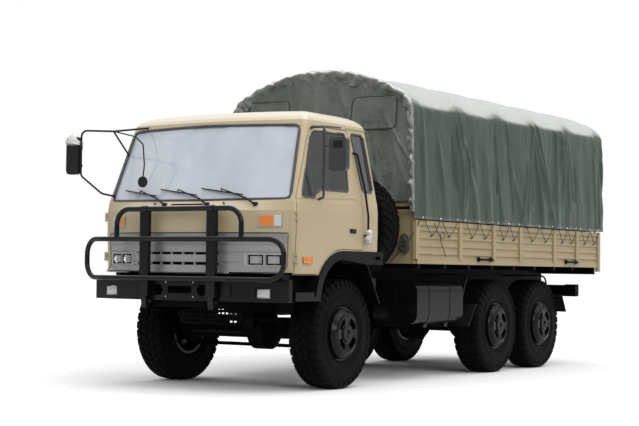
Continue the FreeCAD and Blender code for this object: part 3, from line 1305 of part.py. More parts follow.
def make_mudguards():
    """Rubber flaps before the first and behind the last rear wheel, each on a bent rod."""
    shapes = []
    flap, wide, hang_z, rod_r = 8, 400, 1143, 11
    edge = d.bed_half - d.board - 15
    rail = d.frame_half - 5
    # the rod's height at the rail, then the flap's top and foot, behind the axle they belong to
    for axle, hang_y, top, foot in (("mid", -570, (-725, 810), (-905, 562)),
                                    ("rear", 375, (465, 900), (595, 687))):
        y = AXLES[axle]
        top_y, foot_y = y + top[0], y + foot[0]
        for side in (1, -1):
            low, high = sorted((side * (edge - wide), side * edge))
            sheet = prism([(top_y, top[1]), (top_y + flap, top[1]), (foot_y + flap, foot[1]),
                           (foot_y, foot[1])], "x", low, high)
            middle = side * (edge - wide / 2)
            hanger = tube([V(side * rail, y + hang_y, hang_z), V(middle, y + hang_y, hang_z),
                           V(middle, top_y + flap / 2, top[1] - 15)], [60], rod_r)
            bar = Part.makeCylinder(rod_r, wide, V(low, top_y + flap / 2 - 2, top[1] - 8),
                                    V(1, 0, 0))
            shapes.append(sheet.fuse([bar, hanger]))
    node("mudguards", solid("mudguards_form", Part.makeCompound(shapes)))


def make_rear_end():
    """Underrun beam on the rail ends, with a towing jaw and its vertical pin bore."""
    beam = box("underrun", ("-beam_half", "beam_half"), ("frame_rear + 15", "beam_back"),
               ("870", "1023"))
    lamps = [box(f"tail_lamp_{i}", (low, high), ("frame_rear - 10", "beam_back + 22"),
                 ("878", "1032"))
             for i, (low, high) in enumerate((("-beam_half - 5", "-beam_half + tail_lamp"),
                                              ("beam_half - tail_lamp", "beam_half + 5")))]
    posts = [box(f"underrun_post_{i}", (low, high), ("frame_rear", "frame_rear + 20"),
                 ("frame_bottom + 20", "frame_bottom + frame_height - 10"))
             for i, (low, high) in enumerate((("-frame_half", "-350"), ("350", "frame_half")))]
    core = box("jaw_block", ("-60", "60"), ("beam_back", "beam_back + jaw_reach + 37"),
               ("890", "990"))
    gap = box("jaw_gap", ("-70", "70"), ("beam_back + jaw_reach - 33", "beam_back + jaw_reach + 50"),
              ("915", "965"))
    hole = rod("jaw_hole", "z", "jaw_bore", "880", "1000", y="beam_back + jaw_reach")
    jaw = cut("towing_jaw", core, gap, hole)
    node("rear_bumper", fuse("rear_bumper_form", beam, jaw, *lamps, *posts))


def check_and_write():
    """Refuse a failed object, then write each sub-part to its own file."""
    doc.recompute()
    faults = [f"{thing.Name}: {thing.State}" for thing in doc.Objects
              if "Invalid" in thing.State or "Error" in thing.State]
    for name, thing in NODES.items():
        if thing.Shape.isNull() or not thing.Shape.isValid():
            faults.append(f"{name}: shape is null or not valid")
    if faults:
        raise RuntimeError("; ".join(faults))
    os.makedirs("parts", exist_ok=True)
    for name, thing in NODES.items():
        thing.Shape.exportStep(f"parts/{name}.step")
        written = Part.Shape()
        written.read(f"parts/{name}.step")
        if not written.isValid():
            raise RuntimeError(f"{name}: its file reads back as a shape that is not valid")
        box_size = thing.Shape.BoundBox
        print(f"{name}: {len(thing.Shape.Solids)} solids, "
              f"x {box_size.XMin:.0f}..{box_size.XMax:.0f} y {box_size.YMin:.0f}..{box_size.YMax:.0f} "
              f"z {box_size.ZMin:.0f}..{box_size.ZMax:.0f}")


make_frame()
make_front_end()
make_skid_guard()
make_front_axle()
make_rear_axles()
make_wheels()
make_knuckle("left", 1)
make_knuckle("right", -1)
make_track_rod()
make_springs()
make_engine()
make_driveline()
make_fuel_tank()
make_right_side_units()
make_cab()
make_front_lamps()
make_fenders()
make_cab_inside()
make_mirrors()
make_grab_rails()
make_spare()
make_bed()
make_tarp()
make_mudguards()
make_rear_end()
check_and_write()
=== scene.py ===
"""Looks of the military cargo truck: paint, rubber, glass, canvas and small fittings.

Metres, +Z up, -Y the truck's front, +X its left side, origin on the ground.
"""
import bpy
import math
import random
import numpy as np
from mathutils import Matrix, Vector, noise
from mathutils.bvhtree import BVHTree


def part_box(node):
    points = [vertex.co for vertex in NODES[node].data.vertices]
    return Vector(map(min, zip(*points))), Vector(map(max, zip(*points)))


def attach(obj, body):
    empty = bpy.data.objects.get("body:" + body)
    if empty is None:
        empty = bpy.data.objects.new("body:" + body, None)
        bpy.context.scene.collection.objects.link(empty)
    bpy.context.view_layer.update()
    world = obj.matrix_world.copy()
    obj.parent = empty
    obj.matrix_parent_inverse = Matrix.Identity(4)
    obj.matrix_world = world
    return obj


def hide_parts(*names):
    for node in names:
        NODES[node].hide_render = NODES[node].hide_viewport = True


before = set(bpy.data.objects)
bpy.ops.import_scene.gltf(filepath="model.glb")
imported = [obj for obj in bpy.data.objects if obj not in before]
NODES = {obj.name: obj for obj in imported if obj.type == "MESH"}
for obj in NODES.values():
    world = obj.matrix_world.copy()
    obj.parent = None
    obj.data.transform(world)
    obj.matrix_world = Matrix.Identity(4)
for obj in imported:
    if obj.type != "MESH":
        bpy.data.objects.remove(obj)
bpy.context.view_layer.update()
scene = bpy.context.scene
SIDES = ((1, "left"), (-1, "right"))


# ------------------------------ materials

class Shading:
    """The nodes of a new material or world, with a short way to add each kind of node."""

    def __init__(self, owner, shader="Principled BSDF"):
        owner.use_nodes = True
        self.owner = owner
        self.nodes = owner.node_tree.nodes
        self.shader = self.nodes[shader]

    def put(self, target, value):
        """Gives an input a socket to follow, a colour or a plain value."""
        if isinstance(value, bpy.types.NodeSocket):
            self.owner.node_tree.links.new(value, target)
        elif target.type == "RGBA":
            target.default_value = (*value, 1)
        else:
            target.default_value = value

    def fill(self, inputs):
        for name, value in inputs.items():
            self.put(self.shader.inputs[name], value)

    def add(self, kind, output, inputs=None, **settings):
        """A new node with its inputs filled; gives back one of its outputs."""
        node = self.nodes.new("ShaderNode" + kind)
        for name, value in settings.items():
            setattr(node, name, value)
        for name, value in (inputs or {}).items():
            self.put(node.inputs[name], value)
        return node.outputs[output]

    def maths(self, operation, *values):
        node = self.nodes.new("ShaderNodeMath")
        node.operation = operation
        for target, value in zip(node.inputs, values):
            self.put(target, value)
        return node.outputs["Value"]

    def place(self):
        return self.add("TexCoord", "Object")

    def axis(self, vector, axis):
        return self.add("SeparateXYZ", axis, {"Vector": vector})

    def upward(self):
        """1 where the surface faces straight up."""
        return self.axis(self.add("NewGeometry", "Normal"), "Z")

    def span(self, value, low, high, to_low=0.0, to_high=1.0):
        """A value brought from one span to another, held at its ends."""
        return self.add("MapRange", "Result", {"Value": value, "From Min": low, "From Max": high,
                                               "To Min": to_low, "To Max": to_high})

    def blend(self, factor, first, second):
        """The first tint, and the second where the factor is 1."""
        return self.add("Mix", "Result", {"Factor": factor, "A": first, "B": second},
                        data_type="RGBA")

    def noise(self, scale, detail, rough, stretch=(1, 1, 1), distortion=0.0):
        """Noise over the piece's own place, stretched along an axis where asked."""
        place = self.add("Mapping", "Vector", {"Vector": self.place(), "Scale": stretch})
        return self.add("TexNoise", "Fac", {"Vector": place, "Scale": scale, "Detail": detail,
                                            "Roughness": rough, "Distortion": distortion})

    def ramp(self, value, *stops):
        """A tint between two stops, each a (place, colour)."""
        node = self.nodes.new("ShaderNodeValToRGB")
        for element, (place, colour) in zip(node.color_ramp.elements, stops):
            element.position = place
            element.color = (*colour, 1)
        self.put(node.inputs["Fac"], value)
        return node.outputs["Color"]

    def bumps(self, *layers):
        """Bumps of (height, strength, distance), one over the other."""
        last = None
        for height, strength, distance in layers:
            inputs = {"Height": height, "Strength": strength, "Distance": distance}
            if last:
                inputs["Normal"] = last
            last = self.add("Bump", "Normal", inputs)
        if last:
            self.put(self.shader.inputs["Normal"], last)


def surface(name, colour, second, rough=0.5, metal=0.0, coat=0.0, scale=3.0, grain=60.0,
            grain_depth=0.0, wave_depth=0.0, wave_scale=2.0, stretch=(1, 1, 1), rough_spread=0.08,
            dirt=None, dirt_top=0.0, shine=0.5, sheen=0.0, top_highlight=None, top_highlight_from=0.5):
    """A mottled surface: two tones, uneven gloss, fine grain and long waves, road dirt low down.

    What faces up can be lightened towards a given colour: a painted highlight of the light above.
    """
    paint = Shading(bpy.data.materials.new(name))
    mottle = paint.noise(scale, 6.0, 0.6, stretch)
    tint = paint.ramp(mottle, (0.3, colour), (0.75, second))
    if dirt:
        height = paint.axis(paint.place(), "Z")
        level = paint.maths("MULTIPLY_ADD", paint.noise(4.0, 8.0, 0.65), 0.7, height)
        cover = paint.maths("MULTIPLY", paint.span(level, dirt_top, dirt_top - 0.7), 0.55)
        tint = paint.blend(cover, tint, dirt)
    # painted highlight: what faces up is lightened towards the given colour
    if top_highlight:
        tint = paint.blend(paint.span(paint.upward(), top_highlight_from, 1.0), tint, top_highlight)
    dullest, glossiest = min(1.0, rough + rough_spread), max(0.02, rough - rough_spread)
    paint.fill({"Base Color": tint, "Metallic": metal, "Coat Weight": coat,
                "Coat Roughness": 0.12, "Specular IOR Level": shine, "Sheen Weight": sheen,
                "Roughness": paint.span(mottle, 0.0, 1.0, glossiest, dullest)})
    layers = []
    if wave_depth:
        layers.append((paint.noise(wave_scale, 2.0, 0.5, stretch), 0.6, wave_depth))
    if grain_depth:
        layers.append((paint.noise(grain, 3.0, 0.5), 0.5, grain_depth))
    paint.bumps(*layers)
    return paint.owner


def canvas_material(name, dark, pale, top_glare, ridge_wear_and_highlight):
    """Coated canvas: long soft folds, short creases; painted glare and more gloss where it faces
    up.
    """
    paint = Shading(bpy.data.materials.new(name))
    tones = paint.noise(1.7, 9.0, 0.66, (1, 1.5, 0.45))
    # painted glare: what faces up turns pale, standing in for the sky's reflection; the same mask
    # adds coat there
    top_glare_mask = paint.span(paint.upward(), 0.30, 0.62)
    tint = paint.blend(top_glare_mask, paint.ramp(tones, (0.34, dark), (0.70, pale)), top_glare)
    # lighter along the fold ridges: a painted highlight, with some whitened wear of the creases
    ridge = paint.span(paint.add("NewGeometry", "Pointiness"), 0.515, 0.60, 0.0, 0.6)
    paint.fill({"Base Color": paint.blend(ridge, tint, ridge_wear_and_highlight),
                "Roughness": paint.span(tones, 0.0, 1.0, 0.30, 0.60),
                "Specular IOR Level": 0.22,
                "Coat Weight": paint.span(top_glare_mask, 0.0, 1.0, 0.45, 1.0),
                "Coat Roughness": 0.24, "Coat IOR": 1.5,
                "Sheen Weight": 0.25, "Sheen Roughness": 0.25})
    long_folds = paint.noise(2.6, 3.0, 0.5, (1, 2.8, 0.45))
    creases = paint.noise(8.0, 6.0, 0.62, (1, 1.5, 0.8), 1.2)
    weave = paint.add("TexVoronoi", "Distance", {"Scale": 420})
    paint.bumps((long_folds, 0.6, 0.06), (creases, 0.9, 0.026), (weave, 0.1, 0.0006))
    return paint.owner


REAR_GLASS_Y = -2.6


def glass_material(name, tint, alpha, rough=0.03, streaks_and_reflection=0.0, rear=None):
    """Glass with a faint uneven film (rain streaks, painted mottled reflection); rear: the rear
    window's (tint, alpha).
    """
    paint = Shading(bpy.data.materials.new(name))
    film = paint.noise(2.4, 3.0, 0.5, (1.3, 1, 0.8))
    # brighter patches: rain streaks and painted mottled reflection
    bright = tuple(min(1, c * (1 + streaks_and_reflection)) for c in tint)
    colour = paint.ramp(film, (0.3, tint), (0.75, bright))
    swing = 0.10 if streaks_and_reflection else 0.0
    cover = paint.span(film, 0.0, 1.0, alpha - swing, alpha + swing)
    if rear:
        rear_tint, rear_alpha = rear
        behind = paint.maths("GREATER_THAN", paint.axis(paint.place(), "Y"), REAR_GLASS_Y)
        colour = paint.blend(behind, colour, rear_tint)
        cover = paint.maths("MULTIPLY_ADD", behind, rear_alpha - alpha, cover)
    paint.fill({"Base Color": colour, "Alpha": cover, "Roughness": rough,
                "Coat Weight": 1.0, "Coat Roughness": 0.02})
    return paint.owner


def lens_material(name, tint, ridge=90.0, cover=1.0):
    """Moulded lamp lens: clear coat over fluted plastic."""
    paint = Shading(bpy.data.materials.new(name))
    flutes = paint.add("TexWave", "Fac", {"Vector": paint.place(), "Scale": ridge},
                       bands_direction="X")
    tones = paint.ramp(flutes, (0.0, tuple(c * 0.82 for c in tint)), (1.0, tint))
    paint.fill({"Base Color": tones, "Alpha": cover, "Roughness": 0.15, "Coat Weight": 1.0,
                "Coat Roughness": 0.03})
    paint.bumps((flutes, 0.5, 0.0012))
    return paint.owner


SAND_DUST = (0.40, 0.31, 0.19)
# What faces up on the sand paint is lightened: a painted highlight of the light from above.
SAND = surface("sand_paint", (0.50, 0.405, 0.25), (0.475, 0.38, 0.23), rough=0.36, coat=0.25,
               scale=1.6, grain=420, grain_depth=0.0004, wave_scale=1.7, wave_depth=0.006,
               dirt=SAND_DUST, dirt_top=1.55, top_highlight=(0.70, 0.64, 0.53), top_highlight_from=0.35)
BED_SAND = surface("bed_sand_paint", (0.40, 0.315, 0.175), (0.355, 0.275, 0.150), rough=0.46,
                   coat=0.1, scale=2.2, grain=300, grain_depth=0.0005, wave_scale=2.4,
                   wave_depth=0.008, dirt=(0.33, 0.26, 0.16), dirt_top=1.6)
BLACK = surface("black_paint", (0.0045, 0.0045, 0.005), (0.007, 0.0066, 0.007), rough=0.35,
                shine=0.03, coat=0.28, scale=6, grain=300, grain_depth=0.0005,
                dirt=(0.012, 0.011, 0.010), dirt_top=0.8)
# The bull bar's tube tops are lightened: a painted highlight along the tubes.
BAR_PAINT = surface("bar_paint", (0.0045, 0.0045, 0.005), (0.007, 0.0066, 0.007), rough=0.25,
                    shine=0.05, coat=0.35, scale=6, grain=300, grain_depth=0.0003,
                    top_highlight=(0.17, 0.17, 0.18), top_highlight_from=0.72)
CHASSIS = surface("chassis_black", (0.004, 0.004, 0.004), (0.007, 0.0066, 0.006), rough=0.5,
                  shine=0.04, scale=7, grain=140, grain_depth=0.001,
                  dirt=(0.010, 0.009, 0.008), dirt_top=0.9)
PLASTIC = surface("black_plastic", (0.008, 0.008, 0.009), (0.012, 0.012, 0.014), rough=0.40,
                  shine=0.2, scale=9, grain=700, grain_depth=0.0005)
HOUSING = surface("mirror_housing", (0.020, 0.020, 0.024), (0.030, 0.030, 0.036), rough=0.30,
                  shine=0.4, coat=0.5, scale=6)
RUBBER_SEAL = surface("seal_rubber", (0.045, 0.046, 0.052), (0.07, 0.07, 0.076), rough=0.42,
                      scale=12, grain=500, grain_depth=0.0003)
TYRE = surface("tyre_rubber", (0.0042, 0.0038, 0.0040), (0.0078, 0.0070, 0.0070), rough=0.55,
               shine=0.03, scale=9, grain=260, grain_depth=0.0008,
               dirt=(0.016, 0.0135, 0.0125), dirt_top=0.35)
CAST = surface("cast_metal", (0.006, 0.0055, 0.005), (0.010, 0.009, 0.008), rough=0.6,
               metal=0.0, shine=0.03, scale=14, grain=180, grain_depth=0.0018,
               dirt=(0.016, 0.0135, 0.012), dirt_top=0.7)
STEEL = surface("bright_steel", (0.55, 0.55, 0.56), (0.42, 0.42, 0.43), rough=0.28, metal=1.0,
                scale=20, grain=400, grain_depth=0.0003)
GRILLE = surface("grille_grey", (0.27, 0.26, 0.255), (0.34, 0.33, 0.32), rough=0.34, metal=0.35,
                 coat=0.2, scale=3, grain=500, grain_depth=0.0003, stretch=(1, 1, 9))
DARK = surface("dark_inside", (0.006, 0.006, 0.006), (0.010, 0.010, 0.010), rough=0.8,
               shine=0.1, scale=8)
SEAT_CLOTH = surface("seat_cloth", (0.10, 0.11, 0.12), (0.15, 0.16, 0.17), rough=0.85, scale=14,
                     grain=900, grain_depth=0.0012, sheen=0.3)
ROPE = surface("lacing_rope", (0.030, 0.036, 0.028), (0.055, 0.060, 0.046), rough=0.8, scale=60,
               grain=800, grain_depth=0.0008)
WRAP = surface("clear_wrap", (0.62, 0.60, 0.55), (0.75, 0.74, 0.70), rough=0.25, scale=20,
               wave_scale=30, wave_depth=0.01)
EYELET = surface("eyelet", (0.55, 0.56, 0.55), (0.7, 0.7, 0.69), rough=0.4, metal=0.5, scale=20)
CANVAS = canvas_material("side_canvas", (0.024, 0.042, 0.027), (0.050, 0.072, 0.050),
                         (0.41, 0.44, 0.40), (0.17, 0.20, 0.17))
# A lighter copy of the canvas for the front wall and flaps: painted glare on the cloth that faces
# forward.
FRONT_CANVAS_GLARE = canvas_material("front_canvas_glare", (0.085, 0.102, 0.088), (0.150, 0.168, 0.150),
                               (0.46, 0.49, 0.46), (0.30, 0.33, 0.30))
# A still lighter copy for the ruffled front edge: painted glare on its crumpled folds.
RUFFLE_CANVAS_GLARE = canvas_material("ruffle_canvas_glare", (0.07, 0.085, 0.07), (0.34, 0.36, 0.33),
                                (0.60, 0.62, 0.59), (0.50, 0.52, 0.49))
# The windscreen's pale, mostly opaque tint is a painted reflection of the bright sky.
CAB_GLASS = glass_material("cab_glass", (0.62, 0.66, 0.73), 0.68, 0.05, 0.12,
                           rear=((0.045, 0.047, 0.044), 0.86))
SIDE_GLASS = glass_material("side_glass", (0.07, 0.08, 0.08), 0.30, 0.03)
MIRROR = surface("mirror_glass", (0.75, 0.77, 0.8), (0.78, 0.8, 0.82), rough=0.03, metal=1.0,
                 rough_spread=0.01, scale=2)
CLEAR_LENS = lens_material("clear_lens", (0.80, 0.82, 0.84), 45.0, 0.42)
LAMP_PLASTIC = surface("lamp_frame", (0.33, 0.33, 0.33), (0.42, 0.42, 0.42), rough=0.35,
                       metal=0.3, scale=12)
AMBER_LENS = lens_material("amber_lens", (0.88, 0.24, 0.02))
WHITE_LENS = lens_material("white_lens", (0.72, 0.70, 0.66))
RED_LENS = lens_material("red_lens", (0.45, 0.012, 0.008))
CHROME = surface("lamp_reflector", (0.75, 0.76, 0.78), (0.6, 0.61, 0.63), rough=0.12, metal=1.0,
                 scale=10)


# ------------------------------ piece helpers

def place_piece(obj, body, material):
    scene.collection.objects.link(obj)
    obj.data.materials.append(material)
    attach(obj, body)
    return obj


def mesh_piece(name, verts, faces, material, body="chassis", smooth=True):
    mesh = bpy.data.meshes.new(name)
    mesh.from_pydata([tuple(v) for v in verts], [], faces)
    mesh.validate()
    mesh.update()
    for polygon in mesh.polygons:
        polygon.use_smooth = smooth
    return place_piece(bpy.data.objects.new(name, mesh), body, material)


def grid_faces(rows, columns, wrap_columns=False, flip=False):
    faces = []
    for i in range(rows - 1):
        for j in range(columns if wrap_columns else columns - 1):
            a = i * columns + j
            b = i * columns + (j + 1) % columns
            c, e = b + columns, a + columns
            faces.append((a, e, c, b) if flip else (a, b, c, e))
    return faces


def round_edges(obj, width, segments, angle):
    rounder = obj.modifiers.new("edges", "BEVEL")
    rounder.width = width
    rounder.segments = segments
    rounder.limit_method = "ANGLE"
    rounder.angle_limit = math.radians(angle)


class Builder:
    """Collects simple shapes into one mesh."""

    def __init__(self):
        self.verts = []
        self.faces = []

    def add(self, verts, faces):
        start = len(self.verts)
        self.verts += [Vector(v) for v in verts]
        self.faces += [tuple(i + start for i in face) for face in faces]

    def box(self, low, high):
        """A box between two corners, given in any order."""
        (x0, x1), (y0, y1), (z0, z1) = (sorted(pair) for pair in zip(low, high))
        verts = [(x0, y0, z0), (x1, y0, z0), (x1, y1, z0), (x0, y1, z0),
                 (x0, y0, z1), (x1, y0, z1), (x1, y1, z1), (x0, y1, z1)]
        faces = [(0, 3, 2, 1), (4, 5, 6, 7), (0, 1, 5, 4), (1, 2, 6, 5), (2, 3, 7, 6), (3, 0, 4, 7)]
        self.add(verts, faces)

    def rod(self, start, end, radius, sides=16, radius_end=None):
        """A round bar between two points, tapered where a second radius is given."""
        way = Vector(end) - Vector(start)
        first = len(self.verts)
        self.lathe(start, way, [(0, radius), (way.length, radius_end or radius)], sides)
        self.faces += [tuple(reversed(range(first, first + sides))),
                       tuple(range(first + sides, first + 2 * sides))]

    def nut(self, centre, axis, radius, height):
        """A hexagon nut and the end of its bolt."""
        centre, axis = Vector(centre), Vector(axis)
        top = centre + axis * height
        self.rod(centre, top, radius, 6)
        self.rod(top, centre + axis * height * 1.7, radius * 0.5, 10)

    def lathe(self, centre, axis, profile, sides=48):
        """A turned shape: (distance along the axis, radius) pairs."""
        turn = Vector(axis).to_track_quat("Z", "Y")
        verts = []
        for along, r in profile:
            for i in range(sides):
                a = 2 * math.pi * i / sides
                spot = Vector((r * math.cos(a), r * math.sin(a), along))
                verts.append(Vector(centre) + turn @ spot)
        self.add(verts, grid_faces(len(profile), sides, wrap_columns=True))

    def piece(self, name, material, body="chassis", bevel=0.0, smooth=True, segments=2):
        obj = mesh_piece(name, self.verts, self.faces, material, body, smooth)
        if bevel:
            round_edges(obj, bevel, segments, 35)
        if smooth:
            obj.modifiers.new("normals", "WEIGHTED_NORMAL")
        return obj


def box_piece(name, low, high, material, body="chassis", bevel=0.0):
    shape = Builder()
    shape.box(low, high)
    shape.piece(name, material, body, bevel)


def cable(name, points, radius, material, body="chassis", closed=False, smooth=True, sides=4):
    """A round bar or rope along a line of points."""
    curve = bpy.data.curves.new(name, "CURVE")
    curve.dimensions = "3D"
    curve.bevel_depth = radius
    curve.bevel_resolution = sides
    curve.use_fill_caps = True
    spline = curve.splines.new("NURBS" if smooth else "POLY")
    spline.points.add(len(points) - 1)
    for point, spot in zip(spline.points, points):
        point.co = (*spot, 1)
    spline.use_cyclic_u = closed
    if smooth:
        spline.order_u = 3
        spline.use_endpoint_u = not closed
    return place_piece(bpy.data.objects.new(name, curve), body, material)


def rope(name, points, radius, closed=False, smooth=True):
    cable(name, points, radius, ROPE, closed=closed, smooth=smooth, sides=2)


def seal(name, points, radius, body="chassis", closed=True):
    """A rubber strip along a line of points on the skin."""
    cable(name, points, radius, RUBBER_SEAL, body, closed, smooth=False, sides=3)


def tree_of(*names):
    """A ray target made of CAD nodes."""
    shape = Builder()
    for name in names:
        mesh = NODES[name].data
        shape.add([v.co for v in mesh.vertices], [p.vertices for p in mesh.polygons])
    return BVHTree.FromPolygons(shape.verts, shape.faces)


CAB_SKIN = tree_of("cab_shell", "cab_roof", "cab_front", "grille", "cab_glass", "door_left",
                   "door_right", "door_glass_left", "door_glass_right")
AHEAD_OF_CAB, BESIDE_CAB = -4.4, 2.0      # where the rays start
SHEER, LEAN_FROM = 0.136, 1.85            # the cab's side leans in above this height


def on_front(x, z, lift=0.0, fallback=-3.6):
    """The place on the cab's front at an x and z, lifted off the skin."""
    hit = CAB_SKIN.ray_cast(Vector((x, AHEAD_OF_CAB, z)), Vector((0, 1, 0)))
    spot = hit[0] if hit[0] else Vector((x, fallback, z))
    return Vector((spot.x, spot.y - lift, spot.z))


def on_side(side, y, z, lift=0.0, fallback=1.17):
    """The place on the cab's side at a y and z; in an open gap, the side's own lean."""
    hit = CAB_SKIN.ray_cast(Vector((side * BESIDE_CAB, y, z)), Vector((-side, 0, 0)))
    leaning = fallback - SHEER * max(0.0, z - LEAN_FROM)
    spot = hit[0] if hit[0] else Vector((side * leaning, y, z))
    return Vector((spot.x + side * lift, spot.y, spot.z))


def round_corners(points, radius, steps=5):
    """A closed outline in a plane with its corners rounded."""
    points = [np.array(point, float) for point in points]
    out = []
    for before, corner, after in zip(points[-1:] + points, points, points[1:] + points[:1]):
        before, after = before - corner, after - corner
        lengths = np.linalg.norm(before), np.linalg.norm(after)
        reach = min(radius, *(0.45 * length for length in lengths))
        a = corner + before / lengths[0] * reach
        b = corner + after / lengths[1] * reach
        for k in range(steps + 1):
            t = k / steps
            out.append((1 - t) ** 2 * a + 2 * t * (1 - t) * corner + t ** 2 * b)
    return out


def densify(points, step, closed=True):
    """The same line with more points on it, about a step apart."""
    points = [np.array(point, float) for point in points]
    out = []
    for a, b in zip(points, points[1:] + points[:closed]):
        pieces = max(1, int(np.linalg.norm(b - a) / step))
        out += [a + (b - a) * k / pieces for k in range(pieces)]
    return out if closed else out + points[-1:]


# ------------------------------ carried-over CAD nodes

def dress(material, *names):
    for name in names:
        obj = NODES[name]
        obj.data.materials.clear()
        obj.data.materials.append(material)


dress(SAND, "cab_shell", "cab_roof", "cab_front", "door_left", "door_right")
dress(BED_SAND, "headboard", "bed_side_left", "bed_side_right", "tailgate")
dress(GRILLE, "grille")
dress(BAR_PAINT, "bull_bar")
dress(BLACK, "front_bumper", "fuel_tank", "battery_box", "spare_carrier", "grab_rails", "fenders")
dress(BLACK, *(name for name in NODES if name.startswith("rim_")), "spare_rim")
dress(CHASSIS, "frame_rails", "frame_crossmembers", "front_springs", "rear_springs",
      "rear_bumper", "air_tanks", "exhaust", "canopy_bows", "skid_guard", "cargo_floor")
dress(CAST, "front_axle", "rear_axles", "driveline", "engine", "knuckle_left", "knuckle_right",
      "track_rod")
dress(PLASTIC, "mudguards", "dashboard", "mirror_right")
dress(HOUSING, "mirror_left")
dress(SEAT_CLOTH, "seats")
dress(LAMP_PLASTIC, "front_lamps")
dress(CAB_GLASS, "cab_glass")
dress(SIDE_GLASS, "door_glass_left", "door_glass_right")
TYRES = [name for name in NODES if name.startswith("tyre_") or name == "spare_tyre"]
dress(TYRE, *TYRES)


# ------------------------------ tyres and wheels

LUGS = 36
CARCASS_SIDES = 96
# one half of the carcass, (across, radius), from the bead out to the tread's edge
HALF_CARCASS = [(-0.123, 0.256), (-0.140, 0.285), (-0.153, 0.305), (-0.150, 0.312),
                (-0.162, 0.345), (-0.164, 0.385), (-0.160, 0.388), (-0.163, 0.430),
                (-0.160, 0.470), (-0.152, 0.500), (-0.140, 0.522), (-0.120, 0.530)]
TREAD_MIDDLE = (0, 0.534)
# (across, lead, top, root, width) along each block; lead and width are parts of the pitch
INNER_BLOCK = ((0.004, 0.00, 0.548, 0.530, 0.80), (0.030, 0.16, 0.548, 0.530, 0.84),
               (0.046, 0.40, 0.548, 0.530, 0.84), (0.074, 0.52, 0.547, 0.529, 0.80))
OUTER_BLOCK = ((0.084, 0.62, 0.547, 0.529, 0.78), (0.108, 0.70, 0.546, 0.527, 0.82),
               (0.138, 0.90, 0.540, 0.520, 0.80), (0.156, 0.96, 0.524, 0.500, 0.72),
               (0.166, 0.98, 0.500, 0.482, 0.62), (0.166, 0.99, 0.474, 0.462, 0.44))
RIGHT_TYRE_TURN = 0.35      # so that the right tyres' blocks don't line up with the left ones


def add_block(shape, start, side, pitch, stations):
    """One tread block, from its inner to its outer edge."""
    verts = []
    for across, lead, top, root, wide in stations:
        middle, half = start + lead * pitch, wide * pitch / 2
        for r, spread in ((root, -1.06), (top, -1), (top, 1), (root, 1.06)):
            a = middle + half * spread
            verts.append((side * across, r * math.cos(a), r * math.sin(a)))
    faces = grid_faces(len(stations), 4)
    faces += [(0, 3, 2, 1), tuple(range(len(verts) - 4, len(verts)))]
    if side < 0:
        faces = [tuple(reversed(face)) for face in faces]
    shape.add(verts, faces)


def tyre_mesh():
    """Carcass with side-wall rings and dense rows of chevron blocks, about the X axis."""
    shape = Builder()
    outline = HALF_CARCASS + [TREAD_MIDDLE] + [(-a, r) for a, r in reversed(HALF_CARCASS)]
    shape.lathe((0, 0, 0), (1, 0, 0), outline, CARCASS_SIDES)
    carcass_faces = len(shape.faces)
    pitch = 2 * math.pi / LUGS
    for i in range(LUGS):
        for side in (-1, 1):
            start = (i + 0.5 * (side > 0)) * pitch
            add_block(shape, start, side, pitch, INNER_BLOCK)
            add_block(shape, start, side, pitch, OUTER_BLOCK)
    mesh = bpy.data.meshes.new("tyre_with_lugs")
    mesh.from_pydata([tuple(v) for v in shape.verts], [], shape.faces)
    for polygon in mesh.polygons:
        polygon.use_smooth = polygon.index < carcass_faces
    mesh.materials.append(TYRE)
    return mesh


def make_tyres():
    mesh = tyre_mesh()
    turned = mesh.copy()
    turned.transform(Matrix.Rotation(math.pi, 4, "Z") @ Matrix.Rotation(RIGHT_TYRE_TURN, 4, "X"))
    for name in TYRES:
        low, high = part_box(name)
        obj = bpy.data.objects.new(name + "_rubber", turned if name.endswith("right") else mesh)
        obj.location = (low + high) / 2
        body = name.replace("tyre_", "wheel_")
        if name == "spare_tyre":
            obj.rotation_euler = (0, 0, -math.pi / 2)
            body = "chassis"
        scene.collection.objects.link(obj)
        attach(obj, body)
        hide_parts(name)
        round_edges(obj, 0.003, 1, 40)


HUB_CAP = [(0, 0.088), (0.030, 0.086), (0.036, 0.080), (0.036, 0.045), (0.030, 0.040),
           (0.018, 0.030), (0.018, 0.001)]
RIM_RING = [(0, 0.252), (0.020, 0.254), (0.030, 0.246), (0.026, 0.236), (0.012, 0.232)]


# (nuts, first angle, ring radius, depth below the face, nut radius, nut height)
NUT_RINGS = ((4, math.pi / 4, 0.202, 0.035, 0.011, 0.010), (10, 0.0, 0.118, 0.075, 0.013, 0.016))


def ring_of_nuts(shape, hub, out, count, first, ring, depth, radius, height):
    """Nuts on a ring about the hub, some way in from its face."""
    for i in range(count):
        a = first + 2 * math.pi * i / count
        spot = hub + Vector((0, ring * math.cos(a), ring * math.sin(a))) - out * depth
        shape.nut(spot, out, radius, height)


def make_wheel_details():
    """Hub cap, rim ring, wheel nuts and the four outer nuts on each wheel."""
    for name in [n for n in NODES if n.startswith("rim_")]:
        low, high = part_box(name)
        side = 1 if name.endswith("left") else -1
        middle = (low + high) / 2
        hub = Vector((high.x if side > 0 else low.x, middle.y, middle.z))
        out = Vector((side, 0, 0))
        shape = Builder()
        shape.lathe(hub - out * 0.03, out, HUB_CAP, 40)
        shape.lathe(hub - out * 0.06, out, RIM_RING, 56)
        for ring in NUT_RINGS:
            ring_of_nuts(shape, hub, out, *ring)
        shape.piece(name + "_hub", BLACK, name.replace("rim_", "wheel_"), 0.0015)


# ------------------------------ canvas

TARP_LOW, TARP_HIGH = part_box("tarp")
HALF = TARP_HIGH.x          # half of the width at the hem
HEM = TARP_LOW.z
FRONT_Y = TARP_LOW.y
REAR_Y = TARP_HIGH.y
